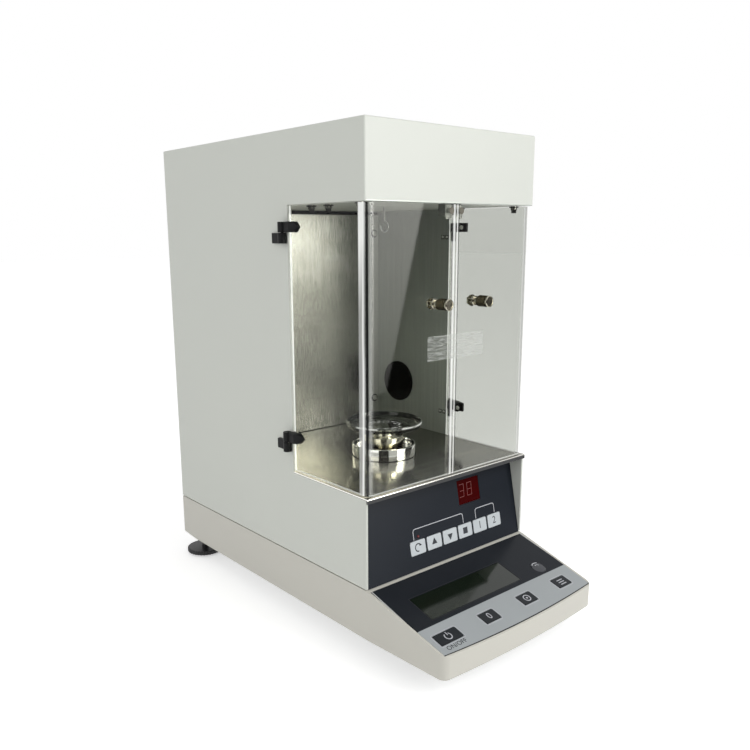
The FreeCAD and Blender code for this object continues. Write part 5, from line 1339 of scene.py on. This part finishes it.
def screw_head(place, radius, height):
    """A domed head with a sunk middle, standing on its place along z."""
    bm = bmesh.new()
    bmesh.ops.create_circle(bm, cap_ends=True, segments=20, radius=radius)
    top = thicken(bm, height * HEAD_SIDE)
    cap = [part for part in top if isinstance(part, bmesh.types.BMFace)]
    for inwards, upwards in HEAD_STEPS:
        bmesh.ops.inset_region(bm, faces=cap, thickness=radius * inwards, depth=height * upwards)
    bmesh.ops.transform(bm, matrix=place, verts=bm.verts)
    return bm


def heads(places, radius, height):
    return gather([screw_head(place, radius, height) for place in places])


def inward(x, y, z, sign):
    """A place on the left or right side whose z axis points into the chamber."""
    return placed(x, y, z, turn_by(-90 * sign, "Y"))


def side_screws(side, sign):
    leaf_screw_y = CLAMP_ENDS[side][0] + LEAF_SCREW_BACK
    on_leaf = [inward(sign * CLAMP_FACE, leaf_screw_y, level, sign) for level in LEAF_LEVELS]
    # the heads' pale colour is a painted glint
    fit_piece(side + "_leaf_screws", heads(on_leaf, 2.3, 1.2), side + "_door",
              SCREW_GLINT_WHITE)
    wall = [(y, level) for level in WALL_SCREW_LEVELS for y in WALL_SCREW_PLACES]
    on_wall = [inward(sign * CABINET_INSIDE, y, level, sign) for y, level in wall]
    fit_piece(side + "_wall_screws", heads(on_wall, 1.5, 0.8), "case",
              SCREW_GLINT_WHITE)
    # painted shadow: black plates round the wall screws for the shade round each head
    shadow_washers = [slab((sign * CABINET_INSIDE, y - 2.2, level - 2.4),
                    (sign * (CABINET_INSIDE - WASHER_SHEET), y + 2.2, level + 2.0))
               for y, level in wall]
    fit_piece(side + "_screw_shadow_washers", gather(shadow_washers), "case", BLACK_METAL,
              IN_MILLIMETRES)
    on_strip = [facing_front(sign * STRIP_SCREW_X, WALL_FRONT - STRIP_SHEET, level)
                for level in STRIP_SCREW_LEVELS]
    fit_piece(side + "_strip_screws", heads(on_strip, 3.2, 3.4), "case",
              SCREW_GLINT_WHITE)
    fit_piece(side + "_strip_washers", heads(on_strip, 4.6, 1.2), "case",
              BLACK_METAL)


for side, sign in SIDES:
    side_screws(side, sign)

# %% [markdown]
# The back has its own small things: domed screws with a cross recess round the sheet, and the
# data socket, whose shell holds a black insert with nine pins between two hexagon posts. The
# domes stand over the ready-made heads, and the recess's shade is painted as a cross of two short
# dark ribbons.

# %% Screws and data socket at the back
REAR_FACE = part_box("rear_panel")[1].y / MM
REAR_SCREW_X = 98.5
REAR_SCREW_LEVELS = (87.7, 269.1, 450.5)
REAR_HEAD = 1.8           # how far the ready-made heads stand out
CROSS_ARMS = (((-1.3, 0), (1.3, 0)), ((0, -1.3), (0, 1.3)))
SOCKET_X = 38.0
SOCKET_Z = 104.0
SOCKET_FLANGE = 1.2
SOCKET_SHELL = 1.0
SOCKET_FACE = REAR_FACE + SOCKET_FLANGE + SOCKET_SHELL
PIN_PITCH = 2.77
PIN_ROWS = ((5, 1.42), (4, -1.42))      # how many pins, and how far up
PIN_LENGTH = 0.55
POST_REACH = 12.6
POST_LENGTH = 1.7


def facing_back(x, y, z):
    return placed(x, y, z, turn_by(-90, "X") @ turn_by(180, "Z"))


def socket_post(x):
    """A hexagon post; a low ring round a sunk disc shows the threaded hole in its end."""
    post = bmesh.new()
    prism(post, 6, 2.7, 2.7, 0, POST_LENGTH)
    break_edges(post, 0.25)
    spun(post, [(1.5, 1.68), (1.4, 1.78), (1.0, 1.78), (0.9, 1.72), (0, 1.72)], 16)
    return moved(post, x, 0)


rear_screws = [(x, level) for x in (-REAR_SCREW_X, REAR_SCREW_X) for level in REAR_SCREW_LEVELS]
domes = heads([facing_back(x, REAR_FACE, level) for x, level in rear_screws], 3.3, 2.2)
fit_piece("rear_screw_domes", domes, "case", SCREW_STEEL)
# painted shade: the recesses are dark ribbons, not cut into the domes
crosses = [moved(ribbon(arm, 0.6), -x, level) for x, level in rear_screws for arm in CROSS_ARMS]
fit_piece("rear_screw_crosses", gather(crosses), "case", PAINTED_SHADOW_BLACK,
          facing_back(0, REAR_FACE + REAR_HEAD, 0))

insert = plate([(-8.3, -4.2), (8.3, -4.2), (9.3, 4.2), (-9.3, 4.2)], 0.25, 1.4)
fit_piece("socket_insert", insert, "case", BLACK_PLASTIC,
          facing_back(SOCKET_X, SOCKET_FACE, SOCKET_Z))
pins = [moved(flat_figure(10, 0.5, height=PIN_LENGTH), (number - (count - 1) / 2) * PIN_PITCH, up)
        for count, up in PIN_ROWS for number in range(count)]
fit_piece("socket_pins", gather(pins), "case", KNOB_BRIGHT,
          facing_back(SOCKET_X, SOCKET_FACE, SOCKET_Z))
posts = gather([socket_post(x) for x in (-POST_REACH, POST_REACH)])
fit_piece("socket_posts", posts, "case", SCREW_STEEL,
          facing_back(SOCKET_X, REAR_FACE + SOCKET_FLANGE, SOCKET_Z))

# %% [markdown]
# A strip of clear sticky tape still holds the doors shut for transport. It is a thin grid
# with small ripples, cut at the seam so that each half stays on its own door. The light that
# the ripples catch is painted on as fine near-level whitish streaks.

# %% Sticky tape on the doors
TAPE_LOW = 266.0
TAPE_HIGH = 288.0
TAPE_MIDDLE = (TAPE_LOW + TAPE_HIGH) / 2
TAPE_WIDTH = TAPE_HIGH - TAPE_LOW
TAPE_LIFT = 0.12
TAPE_WANDER = 0.35        # how far its long edges wander
TAPE_ENDS = {"left": (-34.5, -0.6), "right": (0.6, 39.5)}


def tape_look():
    finish = Finish("tape_look")
    z = finish.split(finish.here())[2]
    streaks = finish.grain(1500.0, 2.0, (0.05, 1, 1))
    blank = finish.grain(60.0, 2.0)
    outline = z.ridge(TAPE_MIDDLE * MM, TAPE_WIDTH / 2 * MM).below(0.05, 0.04)
    # painted highlight: noise streaks for the light caught on the ripples, over the film's own
    # whiteness
    film_and_painted_streaks = streaks.above(0.53, 0.1) * 0.34 + blank * 0.12 + 0.08
    film = finish.surface(shade(214, 217, 212), 0.3)
    return finish.wear(finish.mixed(film_and_painted_streaks.larger(outline * 0.5), finish.clear(), film))


TAPE = tape_look()


def tape_half(side, left, right):
    bm = bmesh.new()
    bmesh.ops.create_grid(bm, x_segments=48, y_segments=20, size=0.5)
    bmesh.ops.scale(bm, verts=bm.verts, vec=(right - left, TAPE_WIDTH, 1))
    for corner in bm.verts:
        ripple = noise.noise(Vector((corner.co.x * 0.15 + left, corner.co.y * 0.9, 0)))
        corner.co.z = TAPE_LIFT * (1 + ripple)
        corner.co.y += TAPE_WANDER * noise.noise(Vector((corner.co.x * 0.4, left, 3.0)))
    fit_piece(side + "_tape", bm, side + "_door", TAPE,
              facing_front((left + right) / 2, DOOR_FACE, TAPE_MIDDLE))


for side, ends in TAPE_ENDS.items():
    tape_half(side, *ends)

# %% [markdown]
# The room is plain: a pale floor and a white surround. The surround is full white where the
# camera, a mirror or a clear thing looks at it, and gentler as a light, so that the paint keeps
# its tone. The floor is lit like the instrument and so keeps its soft shadow.

# %% Floor and surround
SURROUND_LIGHT = 0.55     # how bright the surround is as a light
FLOOR_REACH = 12.0


def looked_at(finish):
    """1 where the camera, a mirror or a clear thing looks, and 0 for the light itself."""
    rays = finish.node("ShaderNodeLightPath").socket.node.outputs
    seen, mirrored, through = [Signal(finish, rays[ray]) for ray in (
        "Is Camera Ray", "Is Glossy Ray", "Is Transmission Ray")]
    return seen.larger(mirrored).larger(through)


def pale_floor():
    bm = bmesh.new()
    bmesh.ops.create_grid(bm, x_segments=1, y_segments=1, size=FLOOR_REACH)
    finish = Finish("studio_floor_look")
    lift = finish.blend(looked_at(finish), BLACK, MIDDLE_GREY)
    paper = finish.surface(shade(244, 244, 244), 0.95, Emission_Color=lift, Emission_Strength=1.0)
    floor = in_scene("studio_floor", bm, finish.wear(paper))


def white_surround(as_light):
    finish = Finish("studio_surround", "worlds")
    strength = looked_at(finish) * (1 - as_light) + as_light
    sky = finish.node("ShaderNodeBackground", None, {"Color": WHITE, "Strength": strength})
    bpy.context.scene.world = finish.wear(sky, "ShaderNodeOutputWorld")


pale_floor()
white_surround(SURROUND_LIGHT)
bpy.context.scene.view_settings.view_transform = "Standard"
print("surround gives", SURROUND_LIGHT, "of its white as light")

# %% [markdown]
# Polished things show the room. Without dark things around it the steel, the film and the
# doors would only mirror white. So a dark bench lies to the right of the instrument, a tall
# dark board stands behind it, a dark stand holds the camera, and between bench and board a
# narrow window gives the back wall and the doors their bright top. Two sheets of pale paper lie
# in front of the instrument and to its left, glowing as painted light for how bright they would
# be lit. Only mirrors and glass see them.

# %% The room that mirrors see
WINDOW_RISE = 0.45
WINDOW_STEP_X = 0.62      # the window is veiled beyond this
WINDOW_VEIL = 0.3
WINDOW_LIGHT = 13.8
WINDOW_LEFT = 0.10
WINDOW_TOP = 0.9
BOARD_Y = -1.0
BOARD_FOOT_X = 0.71       # window and board meet here
BOARD_TOP = 1.3
BOARD_FADE_Z = 0.55
BENCH_NEAR_Y = -0.4
BENCH_FADE_Y = -0.5
BENCH_Z = 0.002
ROOM_X = 4.0
PAPER_Z = 0.003
PAPER_LIGHT = 2.2
STAND_TOP = 1.5


def mirror_card(name, corners, look):
    """A sheet of the room that only mirrors and glass see."""
    card = in_scene(name, sheet_of(corners), look)
    card.visible_camera = False
    card.visible_diffuse = False
    card.visible_shadow = False


def dark_look(name, fade):
    """Dark wood; the fade function gives how much of it is there."""
    finish = Finish(name)
    wood = finish.blend(finish.grain(3.0), shade(50, 47, 42), shade(38, 36, 32))
    there = fade(*finish.split(finish.here()))
    return finish.wear(finish.surface(wood, 0.8, Specular_IOR_Level=0.1, Alpha=there))


def glowing(finish, colour, strength):
    return finish.wear(finish.surface(BLACK, 1.0, Emission_Color=colour,
                                      Emission_Strength=strength))


def window_look():
    """Brightest to the left and above the horizon, and weaker towards the bench."""
    finish = Finish("window_look")
    x, y, z = finish.split(finish.here())
    level = z.above(WINDOW_RISE / 2, WINDOW_RISE) * 0.85 + 0.15
    side = x.below(WINDOW_STEP_X, 0.04) * (1 - WINDOW_VEIL) + WINDOW_VEIL
    return glowing(finish, finish.blend(level * side, BLACK, (1, 0.99, 0.95, 1)), WINDOW_LIGHT)


# the paper glows as painted light in place of being lit
def glowing_paper_look():
    finish = Finish("glowing_paper_look")
    fibre = finish.blend(finish.grain(30.0), (0.95, 0.95, 0.93, 1), (1, 1, 0.98, 1))
    return glowing(finish, fibre, PAPER_LIGHT)


BENCH_WOOD = dark_look("bench_look", lambda x, y, z: y.below(BENCH_FADE_Y, 0.2))
BOARD_WOOD = dark_look("board_look", lambda x, y, z: z.below(BOARD_FADE_Z, 0.5))
PAPER = glowing_paper_look()
mirror_card("dark_bench", [(0.20, BENCH_NEAR_Y, BENCH_Z), (ROOM_X, BENCH_NEAR_Y, BENCH_Z),
                           (ROOM_X, BOARD_Y, BENCH_Z), (0.45, BOARD_Y, BENCH_Z)], BENCH_WOOD)
mirror_card("dark_board", [(BOARD_FOOT_X, BOARD_Y, 0.0), (ROOM_X, BOARD_Y, 0.0),
                           (ROOM_X, BOARD_Y, BOARD_TOP), (1.06, BOARD_Y, BOARD_TOP)], BOARD_WOOD)
mirror_card("window", [(WINDOW_LEFT, BOARD_Y, 0.0), (BOARD_FOOT_X, BOARD_Y, 0.0),
                       (0.95, BOARD_Y, WINDOW_TOP), (WINDOW_LEFT, BOARD_Y, WINDOW_TOP)],
            window_look())
mirror_card("front_paper", [(-0.22, -0.5, PAPER_Z), (0.16, -0.5, PAPER_Z),
                            (0.28, -0.9, PAPER_Z), (-0.32, -0.9, PAPER_Z)], PAPER)
mirror_card("left_paper", [(-0.5, -0.04, PAPER_Z), (-0.5, -0.22, PAPER_Z),
                           (-0.95, -0.44, PAPER_Z), (-1.0, -0.08, PAPER_Z)], PAPER)
mirror_card("camera_stand", [(-0.66, -0.41, 0.0), (-0.32, -0.71, 0.0),
                             (-0.32, -0.71, STAND_TOP), (-0.66, -0.41, STAND_TOP)], BOARD_WOOD)

# %% [markdown]
# One large soft lamp stands ahead of the instrument to its right and above. It lifts the front
# and leaves the left side a step darker, which is what makes the cabinet read as a box. A
# weaker one from the left keeps that side from going dull.

# %% Lamps
LAMP_AIM = Vector((0, 0, 0.2))


def soft_lamp(name, place, size, power):
    light = bpy.data.lights.new(name, "AREA")
    light.shape = "SQUARE"
    light.size = size
    light.energy = power
    lamp = bpy.data.objects.new(name, light)
    bpy.context.scene.collection.objects.link(lamp)
    turn = (Vector(place) - LAMP_AIM).to_track_quat("Z", "Y").to_matrix().to_4x4()
    lamp.matrix_world = Matrix.Translation(place) @ turn
    print(name, "at", place, "power", power)


soft_lamp("front_lamp", (0.9, -2.2, 1.6), 1.4, 28.0)
soft_lamp("left_lamp", (-2.2, -0.6, 1.0), 1.2, 7.0)

# %% [markdown]
# The camera stands to the front left, level with the chamber's upper part. Its directions
# are written as a matrix, and a small lens shift frames the instrument without tilting it.

# %% Camera
CAMERA_PLACE = Vector((-517.4, -603.0, 376.7)) * MM
CAMERA_RIGHT = Vector((0.7597, -0.6502, -0.0049))
CAMERA_UP = Vector((0.1397, 0.1559, 0.9778))
CAMERA_BACK = Vector((-0.6351, -0.7436, 0.2093))
SENSOR_WIDTH = 36.0
FOCAL_LENGTH = 36.94
LENS_SHIFT = (0.0139, 0.0332)
CABINET_MIDDLE = Vector((0, 0, 0.25))

lens = bpy.data.cameras.new("camera")
lens.sensor_width = SENSOR_WIDTH
lens.lens = FOCAL_LENGTH
lens.shift_x, lens.shift_y = LENS_SHIFT
camera = bpy.data.objects.new("camera", lens)
bpy.context.scene.collection.objects.link(camera)
turned = Matrix((CAMERA_RIGHT, CAMERA_UP, CAMERA_BACK)).transposed().to_4x4()
camera.matrix_world = Matrix.Translation(CAMERA_PLACE) @ turned
bpy.context.scene.camera = camera
print("camera", round((CAMERA_PLACE - CABINET_MIDDLE).length, 3), "m away")
